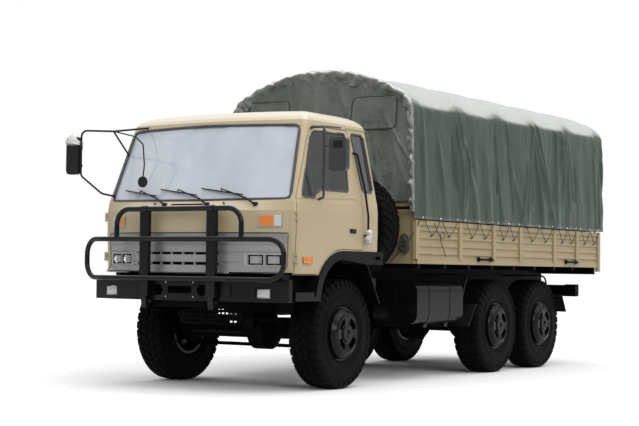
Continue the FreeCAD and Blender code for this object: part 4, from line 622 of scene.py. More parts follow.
# the arch at the front and the rear: half width, radius of the crown, radius of the shoulder
FRONT_ARCH = np.array((1.180, 2.15, 0.28))
REAR_ARCH = np.array((1.225, 2.60, 0.24))
RISE = 0.006                # the cloth stands this far above the tarp's box
LEAN = 0.08                 # the front edge leans back by this much
LEAN_HEIGHT = 1.3
BOWS = 6
FIRST_BOW, LAST_BOW = -1.238, 3.704
BOW_YS = [FIRST_BOW + i * (LAST_BOW - FIRST_BOW) / (BOWS - 1) for i in range(BOWS)]
BOW_RADIUS, BOW_INSET = 0.016, 0.021
BOW_FOOT_X, BOW_FOOT_TOP = 1.190, 1.80
BOW_BEND_FROM = 0.12        # the share of the arch at which a tube leaves its upright
SHOULDER_Z = 3.02           # the side folds begin here
CLOTH = 0.002               # thickness
WALL_BACK, WALL_BOTTOM = 0.018, 1.925       # how far in the front wall hangs, and how low
CURTAIN_IN = 0.040


def profile(y, inset=0.0):
    """The arch at a place along the bed: it is squarer and a little wider at the rear."""
    part = (y - FRONT_Y) / (REAR_Y - FRONT_Y)
    half, crown, turn = (float(v) - inset for v in FRONT_ARCH + (REAR_ARCH - FRONT_ARCH) * part)
    middle = TARP_HIGH.z + RISE - inset - crown
    turn_x = half - turn
    turn_z = middle + math.sqrt((crown - turn) ** 2 - turn_x ** 2)
    return half, crown, turn, middle, turn_x, turn_z


def arch_point(s, inset=0.0, y=FRONT_Y):
    """A point (x, z), the way out from it (x, z) and the whole arch's length.

    s is 0 at the left hem and 1 at the right.
    """
    half, crown, turn, middle, turn_x, turn_z = profile(y, inset)
    lean = math.atan2(turn_z - middle, turn_x)
    straight = turn_z - HEM
    corner = turn * lean
    arc = crown * (math.pi / 2 - lean)
    total = straight + corner + arc
    side = 1 if s <= 0.5 else -1
    along = (s if s <= 0.5 else 1 - s) * 2 * total
    if along < straight:
        wide = HALF - inset
        x, z, nx, nz = wide + (half - wide) * along / straight, HEM + along, 1, 0
    elif along < straight + corner:
        a = (along - straight) / turn
        nx, nz = math.cos(a), math.sin(a)
        x, z = turn_x + turn * nx, turn_z + turn * nz
    else:
        a = lean + (along - straight - corner) / crown
        nx, nz = math.cos(a), math.sin(a)
        x, z = crown * nx, middle + crown * nz
    return side * x, z, side * nx, nz, total * 2


def front_edge(z):
    """The front of the canvas leans back a little towards the top."""
    return FRONT_Y + LEAN * min(1.0, max(0.0, (z - HEM) / LEAN_HEIGHT))


ARCH_LENGTH = arch_point(0)[4]


def make_bows():
    """Six tubes under the canvas, from the bed floor up one side and down the other."""
    shape = Builder()
    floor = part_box("canopy_bows")[0].z
    for y in BOW_YS:
        path = [Vector((BOW_FOOT_X, y, floor)), Vector((BOW_FOOT_X, y, BOW_FOOT_TOP))]
        for k in range(41):
            s = BOW_BEND_FROM + (1 - 2 * BOW_BEND_FROM) * k / 40
            x, z = arch_point(s, BOW_INSET, y)[:2]
            path.append(Vector((x, y, z)))
        path += [Vector((-BOW_FOOT_X, y, BOW_FOOT_TOP)), Vector((-BOW_FOOT_X, y, floor))]
        for a, b in zip(path, path[1:]):
            shape.rod(a, b, BOW_RADIUS, 12)
    tubes = shape.piece("canopy_bow_tubes", CHASSIS)
    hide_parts("canopy_bows")


def fold_field(seed, count):
    """Long folds of one side: most fan down from the shoulder at a bow, some hang straight."""
    rng = random.Random(seed)
    folds = []
    for _ in range(count):
        start = rng.uniform(FRONT_Y, REAR_Y)
        near = min(BOW_YS, key=lambda b: abs(b - start))
        slope = rng.gauss(0.05, 0.10)
        if rng.random() < 0.6:
            start = near + rng.gauss(0, 0.05)
            slope = rng.gauss(0.10, 0.30)
        width = rng.uniform(0.016, 0.040)
        depth = rng.choice((1, 1, -0.7)) * rng.uniform(0.010, 0.030)
        top = rng.uniform(-0.1, 0.35)
        bottom = rng.uniform(0.6, 1.1)
        folds.append((start, slope, width, depth, top, bottom))
    return folds


def fold_height(folds, y, drop):
    """How far the side cloth stands out; drop is 0 at the shoulder and 1 at the hem."""
    out = np.zeros_like(drop)
    for start, slope, width, depth, top, bottom in folds:
        line = start + slope * drop
        ease = np.clip((drop - top) / 0.15, 0, 1) * np.clip((bottom + 0.15 - drop) / 0.15, 0, 1)
        reach = np.abs(y - line) / (width * (0.6 + 0.9 * drop))
        out += depth * ease * np.exp(-reach ** 1.35)
    return out


def main_cloth():
    """The roof and both sides in one sheet: folds at the sides, a sag between the bows."""
    rows, columns = 318, 150
    folds_a_side = 46
    sag_depth, sag_reach = 0.036, 0.20
    held_low, held_near_bow = 0.72, 0.05
    steps = np.linspace(0, 1, rows)
    sites = FRONT_Y + (REAR_Y - FRONT_Y) * steps
    spots = np.array([[arch_point(j / (columns - 1), CLOTH, y) for j in range(columns)]
                      for y in sites])
    x, z, nx, nz = (spots[:, :, k] for k in range(4))
    front = np.array([front_edge(v) for v in z[0]])[None, :]
    y = front + (REAR_Y - front) * steps[:, None]
    drop = np.clip((SHOULDER_Z - z) / (SHOULDER_Z - HEM), 0, 1)
    on_top = np.clip((nz - 0.25) / 0.4, 0, 1)
    left = fold_height(fold_field(3, folds_a_side), y, drop)
    right = fold_height(fold_field(8, folds_a_side), y, drop)
    hang = np.where(x > 0, left, right) * (1 - on_top)
    gap = np.min(np.abs(y[:, :, None] - np.array(BOW_YS)[None, None, :]), axis=2)
    sag = sag_depth * (1 - np.exp(-(gap / sag_reach) ** 2)) * on_top
    drape = 0.012 * drop * np.sin(y * 14.5 + 2.0 * np.sin(y * 2.3)) * (1 - on_top)
    held = (drop > held_low) | (gap < held_near_bow)      # by the side boards, or by a bow
    verts = []
    for i in range(rows):
        for j in range(columns):
            px, py, pz = x[i, j], y[i, j], z[i, j]
            push = hang[i, j] - sag[i, j] + drape[i, j]
            push += 0.010 * noise.noise(Vector((px * 1.3, py * 2.1, pz * 1.3)))
            push += 0.005 * noise.noise(Vector((px * 6, py * 7, pz * 4)))
            if held[i, j]:
                push = max(push, -0.001)
            verts.append((px + nx[i, j] * push, py, pz + nz[i, j] * push))
    return verts, grid_faces(rows, columns)


def ruffle():
    """The drawn-in edge of the roof sheet round the front arch, gathered and crumpled."""
    columns, rings = 700, 13
    verts = []
    for i in range(rings):
        t = i / (rings - 1)
        for j in range(columns):
            s = 0.015 + 0.97 * j / (columns - 1)
            x, z, nx, nz, _ = arch_point(s)
            u = s * ARCH_LENGTH
            low = min(1.0, max(0.0, (3.05 - z) / 0.3))      # 1 at the sides, 0 on the roof
            broad = noise.noise(Vector((u * 5.5, t * 1.1, 3.0)))
            crumple = noise.noise(Vector((u * 15, t * 3.0 + broad, 7.0)))
            pleat = math.sin(u * 36 + 3.0 * broad + 1.3 * math.sin(u * 7.1))
            roll = math.sin(math.pi * min(1.0, t * 1.15))
            depth = (0.128 - 0.055 * low) * (1 + 0.22 * broad) * t + 0.012 * crumple
            forward = 0.034 * roll * (1 - 0.5 * low)
            forward += (0.026 * crumple + 0.010 * pleat) * t ** 0.6
            rough = 1 + 0.8 * broad + 0.7 * crumple + 0.3 * pleat
            depth -= 0.026 * roll * rough * (1 - 0.6 * low)
            y = front_edge(z) - 0.004 - forward + 0.026 * t ** 3
            verts.append((x - nx * depth, y, z - nz * depth))
    return verts, grid_faces(rings, columns, flip=True)


def wall_sheet(y, bottom, direction, seed):
    """An end wall of cloth inside the arch, with folds that fan down from its shoulders."""
    rows, columns = 150, 200
    fold_count, inset = 34, 0.012
    rng = random.Random(seed)
    folds = []
    for _ in range(fold_count):
        top = rng.uniform(-1.1, 1.1)
        slope = rng.gauss(0, 0.5) + 0.5 * top
        width = rng.uniform(0.018, 0.055)
        depth = rng.choice((1, -0.7)) * rng.uniform(0.012, 0.030)
        folds.append((top, slope, width, depth))
    half, crown, turn, middle, turn_x, turn_z = profile(y, inset)
    verts = []
    for i in range(rows):
        t = i / (rows - 1)
        for j in range(columns):
            u = 2 * j / (columns - 1) - 1
            x = u * half
            if abs(x) < turn_x * crown / (crown - turn):
                top = middle + math.sqrt(crown ** 2 - x * x)
            else:
                top = turn_z + math.sqrt(max(0.0, turn ** 2 - (abs(x) - turn_x) ** 2))
            z = bottom + (top - bottom) * t
            x += u * (HALF - inset - half) * max(0.0, 1 - (z - HEM) / (turn_z - HEM))
            out = 0.016 * noise.noise(Vector((x * 1.7, seed, z * 1.5)))
            out += 0.006 * noise.noise(Vector((x * 7, seed, z * 6)))
            for x0, slope, width, depth in folds:
                reach = abs(x - x0 - slope * (1 - t)) / width
                out += depth * math.exp(-reach ** 1.3) * (0.4 + 0.6 * (1 - t))
            lean = front_edge(z) - FRONT_Y if direction < 0 else 0.0
            verts.append((x, y + lean + direction * max(out, -0.008), z))
    return verts, grid_faces(rows, columns, flip=direction > 0)


def cloth_piece(name, verts, faces, material):
    """A sheet with the cloth's thickness."""
    sheet = mesh_piece(name, verts, faces, material)
    shell = sheet.modifiers.new("cloth", "SOLIDIFY")
    shell.thickness = CLOTH
    shell.offset = -1.0
    return sheet


FLAP_X, FLAP_Z = (0.404, 0.958), (2.709, 3.067)
FLAP_CORNER = 0.07


def window_flap(target, side, tag):
    """A rounded flap sewn over the front wall's window, and the cord along its edge."""
    (x0, x1), (z0, z1) = FLAP_X, FLAP_Z
    outline = round_corners([(x0, z0), (x1, z0), (x1, z1), (x0, z1)], FLAP_CORNER)
    middle = ((x0 + x1) / 2, (z0 + z1) / 2)
    rings = 10
    verts = []
    for i in range(rings):
        t = 1 - i / rings
        for px, pz in outline:
            x = side * (middle[0] + (px - middle[0]) * t)
            z = middle[1] + (pz - middle[1]) * t
            hit = target.ray_cast(Vector((x, FRONT_Y - 1, z)), Vector((0, 1, 0)))
            off = 0.007 + 0.010 * (1 - t) + 0.006 * noise.noise(Vector((x * 9, z * 9, 2)))
            verts.append((x, hit[0].y - off, z))
    count = len(outline)
    faces = grid_faces(rings, count, wrap_columns=True, flip=side < 0)
    faces.append(tuple(range((rings - 1) * count, rings * count)))
    flap = cloth_piece(f"canvas_flap_{tag}", verts, faces, FRONT_CANVAS_GLARE)
    edge = [Vector(v) + Vector((0, -0.004, 0)) for v in verts[:count]]
    rope(f"flap_cord_{tag}", edge, THIN_ROPE, closed=True, smooth=False)


def make_canvas():
    make_bows()
    main = cloth_piece("canvas_main", *main_cloth(), CANVAS)
    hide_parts("tarp")
    edge = cloth_piece("canvas_front_ruffle", *ruffle(), RUFFLE_CANVAS_GLARE)
    wall, faces = wall_sheet(FRONT_Y + WALL_BACK, WALL_BOTTOM, -1, 21)
    front = cloth_piece("canvas_front_wall", wall, faces, FRONT_CANVAS_GLARE)
    curtain = wall_sheet(REAR_Y - CURTAIN_IN, HEM + 0.004, 1, 33)
    rear = cloth_piece("canvas_rear_curtain", *curtain, CANVAS)
    target = BVHTree.FromPolygons([Vector(v) for v in wall], faces)
    for side, tag in SIDES:
        window_flap(target, side, tag)


# ------------------------------ ropes and bed fittings

# where the side boards' stakes stand, as in the source: metres behind the front axle
FRONT_AXLE_Y = -2.54
STAKES = [FRONT_AXLE_Y + v for v in (1.250, 2.254, 3.107, 3.835, 4.829, 5.542, 6.310)]
BOARD_X = 1.246
EYELET_Z, HOOK_Z = 1.752, 1.560
LACE_PARTS = (0.10, 0.30, 0.50, 0.70, 0.90)      # of a bay; eyelet, hook, eyelet, hook, eyelet
EYELET_OUTLINE = [(0, 0.014), (0.004, 0.013), (0.005, 0.006), (0, 0.005)]
# a loose rope end on the side boards: (out, back, up) from its start
LOOSE_START = (0.010, -0.94, 1.70)
LOOSE_END = [(0, 0, 0), (0.006, 0.10, -0.14), (0.008, 0.20, -0.17), (0.010, 0.24, -0.11),
             (0.010, 0.15, -0.09), (0.008, 0.11, -0.16), (0.006, 0.22, -0.30),
             (0.006, 0.26, -0.36)]
LACE, THIN_ROPE, HEM_ROPE, THICK_ROPE = 0.0042, 0.0045, 0.006, 0.007      # radii
HEAP = (1.10, -1.335, 1.43)
ROPE_TO_HEM = [(1.14, -1.34, 1.47), (1.20, -1.33, 1.57), (1.252, -1.30, 1.66),
               (1.262, -1.26, 1.75)]
ROPE_DOWN = [(1.08, -1.34, 1.42), (1.00, -1.33, 1.34), (0.93, -1.33, 1.27)]


def lacing_path(stops, side):
    """The rope from stop to stop, slack in between."""
    path = []
    for a, b in zip(stops, stops[1:]):
        for q in range(5):
            t = q / 5
            slack = Vector((side * 0.004, 0, -0.018)) * math.sin(math.pi * t)
            path.append(a + (b - a) * t + slack)
    return path + [stops[-1]]


def make_lacing():
    """Zigzag rope from the hem's eyelets to hooks on the side boards, and its loose ends."""
    for side, tag in SIDES:
        eyelets, hooks = Builder(), Builder()
        out = Vector((side, 0, 0))
        for bay, (front, rear) in enumerate(zip(STAKES, STAKES[1:])):
            stops = []
            for k, part in enumerate(LACE_PARTS):
                y = front + (rear - front) * part
                if k % 2 == 0:
                    spot = Vector((side * (BOARD_X + 0.012), y, EYELET_Z))
                    eyelets.lathe(spot - out * 0.004, out, EYELET_OUTLINE, 14)
                else:
                    spot = Vector((side * (BOARD_X + 0.004), y, HOOK_Z))
                    hooks.rod(spot - out * 0.030, spot + out * 0.008, 0.005, 8)
                    tip = spot + out * 0.006 + Vector((0, 0, 0.022))
                    hooks.rod(spot + out * 0.006, tip, 0.004, 8)
                stops.append(spot + out * 0.004)
            rope(f"lacing_{tag}_{bay}", lacing_path(stops, side), LACE)
        eyelets.piece(f"eyelets_{tag}", EYELET)
        hooks.piece(f"rope_hooks_{tag}", CHASSIS)
        outward, back, up = LOOSE_START
        start = Vector((side * (BOARD_X + outward), back, up))
        loose = [start + Vector((side * x, y, z)) for x, y, z in LOOSE_END]
        rope(f"loose_rope_{tag}", loose, THIN_ROPE)
    rng = random.Random(12)
    for i in range(5):
        way = []
        for k in range(9):
            a = 0.9 * k + i
            turn = Vector((0.05 * math.cos(a) + 0.03 * rng.random(), -0.016 * (i % 3),
                           0.07 * math.sin(a) + 0.02 * i))
            way.append(Vector(HEAP) + turn)
        rope(f"rope_heap_{i}", way, THICK_ROPE)
    rope("rope_to_hem", ROPE_TO_HEM, HEM_ROPE)
    rope("rope_down", ROPE_DOWN, HEM_ROPE)


GRIP_YS, GRIP_Z, GRIP_OUT = (0.31, 2.79), 1.322, 0.032
# two corners of each on the left
TAIL_LENS = ((0.790, 3.792, 0.893), (0.915, 3.806, 1.017))
TURN_LENS = ((0.880, 3.803, 0.896), (0.912, 3.810, 1.014))
SPARE_BAR_Z, SPARE_BAR_OUT = 1.850, 0.030


def make_bed_fittings():
    """Hand grips low on the side boards, the tail lamps' lenses, the bar over the spare wheel."""
    for side, tag in SIDES:
        grips = Builder()
        for y in GRIP_YS:
            face = on_side(side, y, GRIP_Z, 0.002, 1.242).x
            bar_x = face + side * GRIP_OUT
            for end in (-0.15, 0.15):
                grips.rod((face - side * 0.01, y + end, GRIP_Z), (bar_x, y + end, GRIP_Z),
                          0.011, 10)
            grips.rod((bar_x, y - 0.165, GRIP_Z), (bar_x, y + 0.165, GRIP_Z), 0.013, 12)
            for end in (-0.155, 0.155):
                grips.box((face - side * 0.006, y + end - 0.024, GRIP_Z - 0.024),
                          (face + side * 0.010, y + end + 0.024, GRIP_Z + 0.030))
        grips.piece(f"side_grips_{tag}", CHASSIS, bevel=0.002)
        for name, corners, lens, bevel in (("tail_lens", TAIL_LENS, RED_LENS, 0.006),
                                           ("turn_lens", TURN_LENS, AMBER_LENS, 0.004)):
            low, high = ((side * x, y, z) for x, y, z in corners)
            box_piece(f"{name}_{tag}", low, high, lens, bevel=bevel)
    bar = Builder()
    y = FRONT_Y - SPARE_BAR_OUT
    bar.rod((0.36, y, SPARE_BAR_Z), (1.20, y, SPARE_BAR_Z), 0.017, 14)
    for x in (0.40, 0.78, 1.17):
        bar.rod((x, y, SPARE_BAR_Z), (x, FRONT_Y + 0.09, SPARE_BAR_Z), 0.012, 10)
    bar.piece("spare_bar", CHASSIS, bevel=0.002)


# ------------------------------ seals and window frames

# outlines on the skin: (x, z) on the front, (y, z) on a side
SCREEN = [(-1.086, 1.852), (0, 1.838), (1.086, 1.852), (1.012, 2.578), (0, 2.594), (-1.012, 2.578)]
DOOR_WINDOW = [(-3.436, 1.874), (-3.190, 1.874), (-3.100, 1.955), (-2.560, 1.959),
               (-2.518, 2.543), (-3.085, 2.538), (-3.160, 2.500), (-3.212, 2.420)]
QUARTER = [(-2.421, 2.553), (-2.178, 2.553), (-2.092, 1.974), (-2.294, 1.966)]
DRIP = [(-3.288, 2.337), (-3.247, 2.442), (-3.178, 2.528), (-3.085, 2.571), (-2.919, 2.591),
        (-2.584, 2.602)]
WINDOW_BAR_Y = -3.19


def make_seals():
    """Rubber round the windows, the drip seal over the door and the door window's upright."""
    line = densify(round_corners(SCREEN, 0.07), 0.05)
    seal("screen_seal", [on_front(x, z, 0.002) for x, z in line], 0.015)
    for side, tag in SIDES:
        door = f"door_{tag}"
        line = densify(round_corners(DOOR_WINDOW, 0.035), 0.04)
        seal(f"door_seal_{tag}", [on_side(side, y, z, 0.001) for y, z in line], 0.009, door)
        line = densify(round_corners(QUARTER, 0.05), 0.04)
        seal(f"quarter_seal_{tag}", [on_side(side, y, z, 0.001) for y, z in line], 0.011)
        line = densify(DRIP, 0.03, closed=False)
        seal(f"drip_seal_{tag}", [on_side(side, y, z, 0.002, 1.07) for y, z in line], 0.007,
             closed=False)
        bar = [on_side(side, WINDOW_BAR_Y, z, -0.02, 1.1) for z in (1.90, 2.2, 2.47)]
        seal(f"window_bar_{tag}", bar, 0.012, door, closed=False)


# ------------------------------ cab front

NOSE_Y, NOSE_BOW, NOSE_HALF = -3.753, 0.22, 1.09      # the front's plan: its middle and its bow
PANEL_TOP, PANEL_HEIGHT, PANEL_SLOPE = 1.545, 0.415, 0.012
PLATE = 0.012               # thickness of rims and lenses


def panel_y(x, z):
    """The cab front's own curve, also where the skin has a recess."""
    down = max(0.0, min(1.0, (PANEL_TOP - z) / PANEL_HEIGHT))
    return NOSE_Y + NOSE_BOW * (abs(x) / NOSE_HALF) ** 2 + PANEL_SLOPE * down


def curved_plate(shape, x0, x1, z0, z1, lift, steps=6):
    """A plate that follows the cab front's curve, its face lifted off it."""
    back = lift - PLATE
    verts = []
    for i in range(steps + 1):
        x = x0 + (x1 - x0) * i / steps
        for depth, z in ((lift, z0), (lift, z1), (back, z1), (back, z0)):
            verts.append((x, panel_y(x, z) - depth, z))
    last = 4 * steps
    faces = grid_faces(steps + 1, 4, wrap_columns=True, flip=True)
    faces += [(0, 1, 2, 3), (last, last + 3, last + 2, last + 1)]
    shape.add(verts, faces)


HEADLAMPS = ((0.712, 0.852), (0.882, 1.018))      # inner and outer edge of each
HEADLAMP_LOW, HEADLAMP_HIGH, HEADLAMP_RIM = 1.222, 1.316, 0.012
BOWL_Z, BOWL_DEPTH = 1.269, 0.026
BOWL = [(0.0, 0.010), (0.004, 0.024), (0.012, 0.038), (0.022, 0.045), (0.020, 0.046)]
INDICATOR_LOW, INDICATOR_HIGH = 1.592, 1.692
FOG_X, FOG_HALF, FOG_LOW, FOG_HIGH = 0.915, 0.066, 0.912, 0.984
MARKER_Y, MARKER_Z, MARKER_OUT = -3.341, 1.272, 0.012


def add_headlamp(x0, x1, clear, chrome, rim):
    """A square lamp: back plate, bowl and bulb, lens and its four rims."""
    low, high, edge = HEADLAMP_LOW, HEADLAMP_HIGH, HEADLAMP_RIM
    curved_plate(rim, x0, x1, low, high, -0.034)
    centre = (x0 + x1) / 2
    middle = Vector((centre, panel_y(centre, BOWL_Z) + BOWL_DEPTH, BOWL_Z))
    chrome.lathe(middle, (0, -1, 0), BOWL, 32)
    chrome.rod(middle, middle - Vector((0, 0.016, 0)), 0.010, 14, 0.006)
    curved_plate(clear, x0 + edge, x1 - edge, low + edge, high - edge, -0.010)
    for a, b in ((x0, x0 + edge), (x1 - edge, x1)):
        curved_plate(rim, a, b, low, high, -0.002, steps=1)
    for a, b in ((low, low + edge), (high - edge, high)):
        curved_plate(rim, x0, x1, a, b, -0.002)


def make_lamps():
    """Lenses of the headlamps, indicators, fog lamps and side markers."""
    for side, tag in SIDES:
        clear, chrome, amber, white, rim = (Builder() for _ in range(5))
        for low, high in HEADLAMPS:
            x0, x1 = sorted((side * low, side * high))
            add_headlamp(x0, x1, clear, chrome, rim)
        for lens, low, high in ((amber, 0.820, 0.958), (white, 0.960, 1.024)):
            x0, x1 = sorted((side * low, side * high))
            curved_plate(lens, x0, x1, INDICATOR_LOW, INDICATOR_HIGH, 0.016)
        clear.piece(f"headlamp_lens_{tag}", CLEAR_LENS, bevel=0.002, segments=1)
        chrome.piece(f"headlamp_reflector_{tag}", CHROME)
        rim.piece(f"headlamp_rim_{tag}", DARK)
        amber.piece(f"indicator_amber_{tag}", AMBER_LENS, bevel=0.004)
        white.piece(f"indicator_white_{tag}", WHITE_LENS, bevel=0.004)
        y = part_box("front_lamps")[0].y
        box_piece(f"fog_lens_{tag}", (side * FOG_X - FOG_HALF, y - 0.008, FOG_LOW),
                  (side * FOG_X + FOG_HALF, y + 0.004, FOG_HIGH), WHITE_LENS, bevel=0.006)
        marker = Builder()
        spot = on_side(side, MARKER_Y, MARKER_Z)
        for half in (Vector((0.006, 0.080, 0.032)), Vector((0.008, 0.020, 0.036))):
            marker.box(spot - half, spot + half)
        lens = marker.piece(f"side_marker_{tag}", AMBER_LENS, f"door_{tag}", 0.005)
        lens.location.x += side * MARKER_OUT


GRILLE_EDGE = [(-1.07, 1.140), (1.07, 1.140), (1.085, 1.522), (-1.085, 1.522)]
WIPERS = (-0.265, 0.250, 0.765)
# foot, elbow, tip and the blade's two ends: (across from the pivot, height, off the glass)
WIPER = ((0.0, 1.800, 0.004), (-0.10, 1.856, 0.050), (-0.400, 1.952, 0.040),
         (-0.640, 1.958, 0.022), (-0.160, 1.892, 0.022))
JETS, JET_Z = (-0.405, 0.430), 1.802
BOLT_X, BOLT_ZS = 0.165, (1.045, 0.905)
BUMPER_BOW, BUMPER_HALF = 0.15, 1.17
SOCKET_X, SOCKET_Z = 0.53, 0.97


def add_wiper(shape, pivot):
    """Pivot, bent arm, blade and its bridge."""
    foot, elbow, tip, *ends = (on_front(pivot + x, z, lift) for x, z, lift in WIPER)
    middle = (ends[0] + ends[1]) / 2
    shape.rod(foot + Vector((0, 0.02, 0)), foot - Vector((0, 0.030, 0)), 0.019, 14)
    shape.rod(foot - Vector((0, 0.026, 0)), elbow, 0.011, 10, 0.009)
    shape.rod(elbow, tip, 0.009, 8, 0.006)
    for end in ends:
        shape.rod(middle - Vector((0, 0.014, 0)), end, 0.007, 6, 0.005)
    shape.rod(ends[0], ends[1], 0.007, 6)
    shape.rod(tip, middle - Vector((0, 0.010, 0)), 0.006, 6)


def make_front_trim():
    """Grille outline, wipers, washer jets, bumper bolts and the socket."""
    spots = [on_front(x, z, 0.001) for x, z in densify(GRILLE_EDGE, 0.06)]
    cable("grille_outline", spots, 0.004, RUBBER_SEAL, closed=True, smooth=False, sides=2)
    wipers = Builder()
    for pivot in WIPERS:
        add_wiper(wipers, pivot)
    for x in JETS:
        foot = on_front(x, JET_Z)
        wipers.rod(foot + Vector((0, 0.01, 0)), foot + Vector((0, -0.016, 0.014)), 0.008, 10)
    wipers.piece("wipers", PLASTIC, bevel=0.001, segments=1)
    bolts = Builder()
    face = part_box("front_bumper")[0].y
    for z in BOLT_ZS:
        for x in (-BOLT_X, BOLT_X):
            bolts.nut((x, face + 0.004, z), (0, -1, 0), 0.008, 0.006)
    bolts.piece("bumper_bolts", STEEL, smooth=False)
    socket = Builder()
    y = face + BUMPER_BOW * (SOCKET_X / BUMPER_HALF) ** 2
    socket.box((SOCKET_X - 0.055, y - 0.010, SOCKET_Z - 0.055),
               (SOCKET_X + 0.055, y + 0.010, SOCKET_Z + 0.055))
    for x in (SOCKET_X - 0.028, SOCKET_X + 0.028):
        for z in (SOCKET_Z - 0.028, SOCKET_Z + 0.028):
            socket.rod((x, y - 0.016, z), (x, y, z), 0.015, 14)
    socket.piece("front_socket", PLASTIC, bevel=0.003)


# ------------------------------ doors and mirrors

HANDLE_Y, HANDLE_Z = -2.512, 1.570
# the handle's recess plate and its grip: two corners (out from the skin, y, z)
HANDLE_PLATE = ((-0.004, -2.570, 1.548), (0.010, -2.455, 1.592))
HANDLE_GRIP = ((0.006, -2.560, 1.562), (0.022, -2.485, 1.580))
LOCK_Y, LOCK_Z = -2.457, 1.493
# two corners of each mirror part, and where the wrappings hang
LEFT_FACE = ((1.312, -3.108, 2.150), (1.478, -3.104, 2.428))
LEFT_CAP = ((1.345, -3.178, 2.350), (1.445, -3.166, 2.420))
RIGHT_FACE = ((-1.440, -3.764, 2.135), (-1.302, -3.760, 2.470))
MIRROR_WRAP, RAIL_WRAP = (-1.371, -3.790, 2.400), (1.226, -2.290, 1.535)


def make_door_trim():
    """Handles and locks on the doors."""
    for side, tag in SIDES:
        handle = Builder()
        x = on_side(side, HANDLE_Y, HANDLE_Z).x
        for corners in (HANDLE_PLATE, HANDLE_GRIP):
            low, high = ((x + side * out, y, z) for out, y, z in corners)
            handle.box(low, high)
        handle.piece(f"door_handle_{tag}", PLASTIC, f"door_{tag}", 0.004)
        lock = Builder()
        spot = on_side(side, LOCK_Y, LOCK_Z)
        out = Vector((side, 0, 0))
        lock.rod(spot - out * 0.004, spot + out * 0.005, 0.012, 18)
        lock.piece(f"door_lock_{tag}", STEEL, f"door_{tag}", 0.001)


def make_mirror_trim():
    """Mirror faces, the left mirror's cap, and the wrapping left on the mirror and the rail."""
    box_piece("mirror_face_left", *LEFT_FACE, MIRROR, "door_left", 0.001)
    box_piece("mirror_cap_left", *LEFT_CAP, PLASTIC, "door_left", 0.004)
    box_piece("mirror_face_right", *RIGHT_FACE, MIRROR, bevel=0.001)
    wrap = Builder()
    for i in range(3):
        turns = [(0, 0.004), (0.01, 0.088 - 0.012 * i), (0.05, 0.094 - 0.02 * i), (0.09, 0.012)]
        spot = Vector(MIRROR_WRAP) + Vector((0, 0, 0.028 * i))
        wrap.lathe(spot, (0.1 * i, 0.2, 1), turns, 9)
    wrap.piece("mirror_wrap", WRAP, smooth=False)
    scraps = Builder()
    turns = [(0, 0.004), (0.012, 0.030), (0.040, 0.034), (0.062, 0.006)]
    for i in range(4):
        tilt = (0.4 - 0.2 * i, 0.5 * (i % 2), 1)
        scraps.lathe(Vector(RAIL_WRAP) - Vector((0, 0, 0.030 * i)), tilt, turns, 7)
    scraps.piece("rail_wrap", WRAP, smooth=False)


# ------------------------------ seats

SEAT_XS = (("left", 0.62), ("middle", 0.0), ("right", -0.62))
SEAT_HALF, BASE_HALF = 0.24, 0.20
SEAT_FRONT, SEAT_REAR = -2.96, -2.50
BACK_FRONT, BACK_REAR = -2.545, -2.405
BASE_FRONT, BASE_REAR = -2.90, -2.52
BASE_TOP, CUSHION_LOW, CUSHION_TOP, BACK_LOW, BACK_TOP = 0.232, 0.228, 0.362, 0.33, 0.90
SEAT_FILL = 0.8


def bulge(value, power):
    """A sine or cosine flattened towards its ends, its sign kept."""
    return math.copysign(abs(value) ** power, value)


def cushion(name, low, high, crown, slope=0.0):
    """A padded closed form: crowned faces, sides pulled in between the corners, two seams.

    slope leans it back with height.
    """
    rows, columns = 33, 64
    low, high = Vector(low), Vector(high)
    middle, half = (low + high) / 2, (high - low) / 2
    verts = []
    for i in range(rows):
        v = -math.pi / 2 + math.pi * i / (rows - 1)
        ring = abs(math.cos(v)) ** 0.35
        z = bulge(math.sin(v), 0.55)
        for j in range(columns):
            u = 2 * math.pi * j / columns
            x = bulge(math.cos(u), 0.42) * ring
            y = bulge(math.sin(u), 0.42) * ring
            pull = 1 - 0.035 * (math.cos(x * math.pi / 2) + math.cos(y * math.pi / 2)) * ring
            swell = crown * (1 - x * x) * (1 - y * y)
            seam = 0.010 * math.exp(-((abs(x) - 0.55) / 0.05) ** 2) * (z > 0)
            spot = Vector((x * half.x * pull, y * half.y * pull,
                           z * half.z * (SEAT_FILL + swell) - seam))
            spot.y += slope * spot.z
            verts.append(middle + spot)
    pad = mesh_piece(name, verts, grid_faces(rows, columns, wrap_columns=True), SEAT_CLOTH)


def make_seats():
    """Three seats: a plain base each, with a padded cushion and back."""
    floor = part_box("seats")[0].z
    bases = Builder()
    for tag, x in SEAT_XS:
        bases.box((x - BASE_HALF, BASE_FRONT, floor), (x + BASE_HALF, BASE_REAR, floor + BASE_TOP))
        cushion(f"seat_cushion_{tag}", (x - SEAT_HALF, SEAT_FRONT, floor + CUSHION_LOW),
                (x + SEAT_HALF, SEAT_REAR, floor + CUSHION_TOP), 0.35)
        cushion(f"seat_back_{tag}", (x - SEAT_HALF, BACK_FRONT, floor + BACK_LOW),
                (x + SEAT_HALF, BACK_REAR, floor + BACK_TOP), 0.12, 0.14)
    base = bases.piece("seat_bases", DARK, bevel=0.004)
    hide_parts("seats")


# ------------------------------ camera, floor and light

CAMERA_PLACE = (9.1772, -15.7797, 1.1782)
FOCAL_LENGTH, SHIFT_X, SHIFT_Y = 87.64, 0.006917, 0.002316
TURN, RISE_ANGLE, ROLL = (math.radians(a) for a in (32.482, -2.048, 0.752))


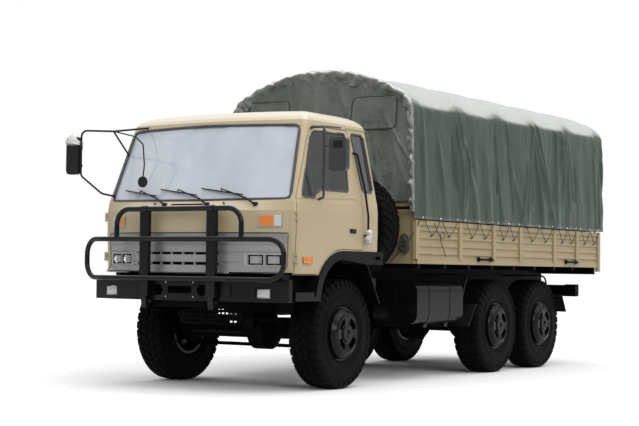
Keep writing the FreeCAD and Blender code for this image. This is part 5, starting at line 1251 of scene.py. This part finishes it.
def make_camera():
    """The camera fitted to the photograph."""
    ahead = Vector((-math.sin(TURN) * math.cos(RISE_ANGLE), math.cos(TURN) * math.cos(RISE_ANGLE),
                    -math.sin(RISE_ANGLE)))
    right = Vector((math.cos(TURN), math.sin(TURN), 0))
    up = right.cross(ahead)
    across = right * math.cos(ROLL) + up * math.sin(ROLL)
    upward = up * math.cos(ROLL) - right * math.sin(ROLL)
    camera = bpy.data.objects.new("camera", bpy.data.cameras.new("camera"))
    scene.collection.objects.link(camera)
    turned = Matrix((across, upward, -ahead)).transposed().to_4x4()
    camera.matrix_world = Matrix.Translation(CAMERA_PLACE) @ turned
    camera.data.sensor_width = 36
    camera.data.lens = FOCAL_LENGTH
    camera.data.shift_x = SHIFT_X
    camera.data.shift_y = SHIFT_Y
    camera.data.clip_end = 200
    scene.camera = camera


def make_floor():
    """A pale floor that bounces less light back than the eye sees on it."""
    paint = Shading(bpy.data.materials.new("floor_plain"))
    seen = paint.add("LightPath", "Is Camera Ray")
    for kind in ("Is Glossy Ray", "Is Transmission Ray"):
        seen = paint.maths("MAXIMUM", seen, paint.add("LightPath", kind))
    paint.fill({"Base Color": paint.blend(seen, (0.28, 0.28, 0.28), (0.86, 0.86, 0.86)),
                "Roughness": 0.95, "Specular IOR Level": 0.0})
    size = 60
    mesh = bpy.data.meshes.new("floor")
    mesh.from_pydata([(-size, -size, 0), (size, -size, 0), (size, size, 0), (-size, size, 0)],
                     [], [(0, 1, 2, 3)])
    mesh.materials.append(paint.owner)
    floor = bpy.data.objects.new("floor", mesh)
    scene.collection.objects.link(floor)


def make_world():
    """White where the camera looks; as light, dimmer towards the ground."""
    world = bpy.data.worlds.new("studio")
    scene.world = world
    sky = Shading(world, "Background")
    height = sky.axis(sky.add("TexCoord", "Generated"), "Z")
    sky.fill({"Color": (0.98, 0.99, 1.0), "Strength": sky.span(height, 0.02, 0.55, 0.50, 1.0)})
    white = sky.add("Background", "Background", {"Color": (1, 1, 1), "Strength": 1.0})
    mix = sky.nodes.new("ShaderNodeMixShader")
    inputs = (sky.add("LightPath", "Is Camera Ray"), sky.shader.outputs["Background"], white)
    for target, value in zip(mix.inputs, inputs):
        sky.put(target, value)
    sky.put(sky.nodes["World Output"].inputs["Surface"], mix.outputs["Shader"])


def sun(name, towards, strength, spread):
    """Soft light from a direction, the same all over the floor."""
    light = bpy.data.lights.new(name, "SUN")
    light.energy = strength
    light.angle = math.radians(spread)
    obj = bpy.data.objects.new(name, light)
    scene.collection.objects.link(obj)
    obj.rotation_euler = (-Vector(towards)).to_track_quat("-Z", "Y").to_euler()


make_tyres()
make_wheel_details()
make_canvas()
make_lacing()
make_bed_fittings()
make_seals()
make_lamps()
make_front_trim()
make_door_trim()
make_mirror_trim()
make_seats()
make_camera()
make_floor()
make_world()
sun("overhead", (0.30, 0.10, 0.95), 1.30, 60)
sun("left_front", (0.76, -0.50, 0.42), 0.80, 26)
scene.view_settings.view_transform = "Standard"
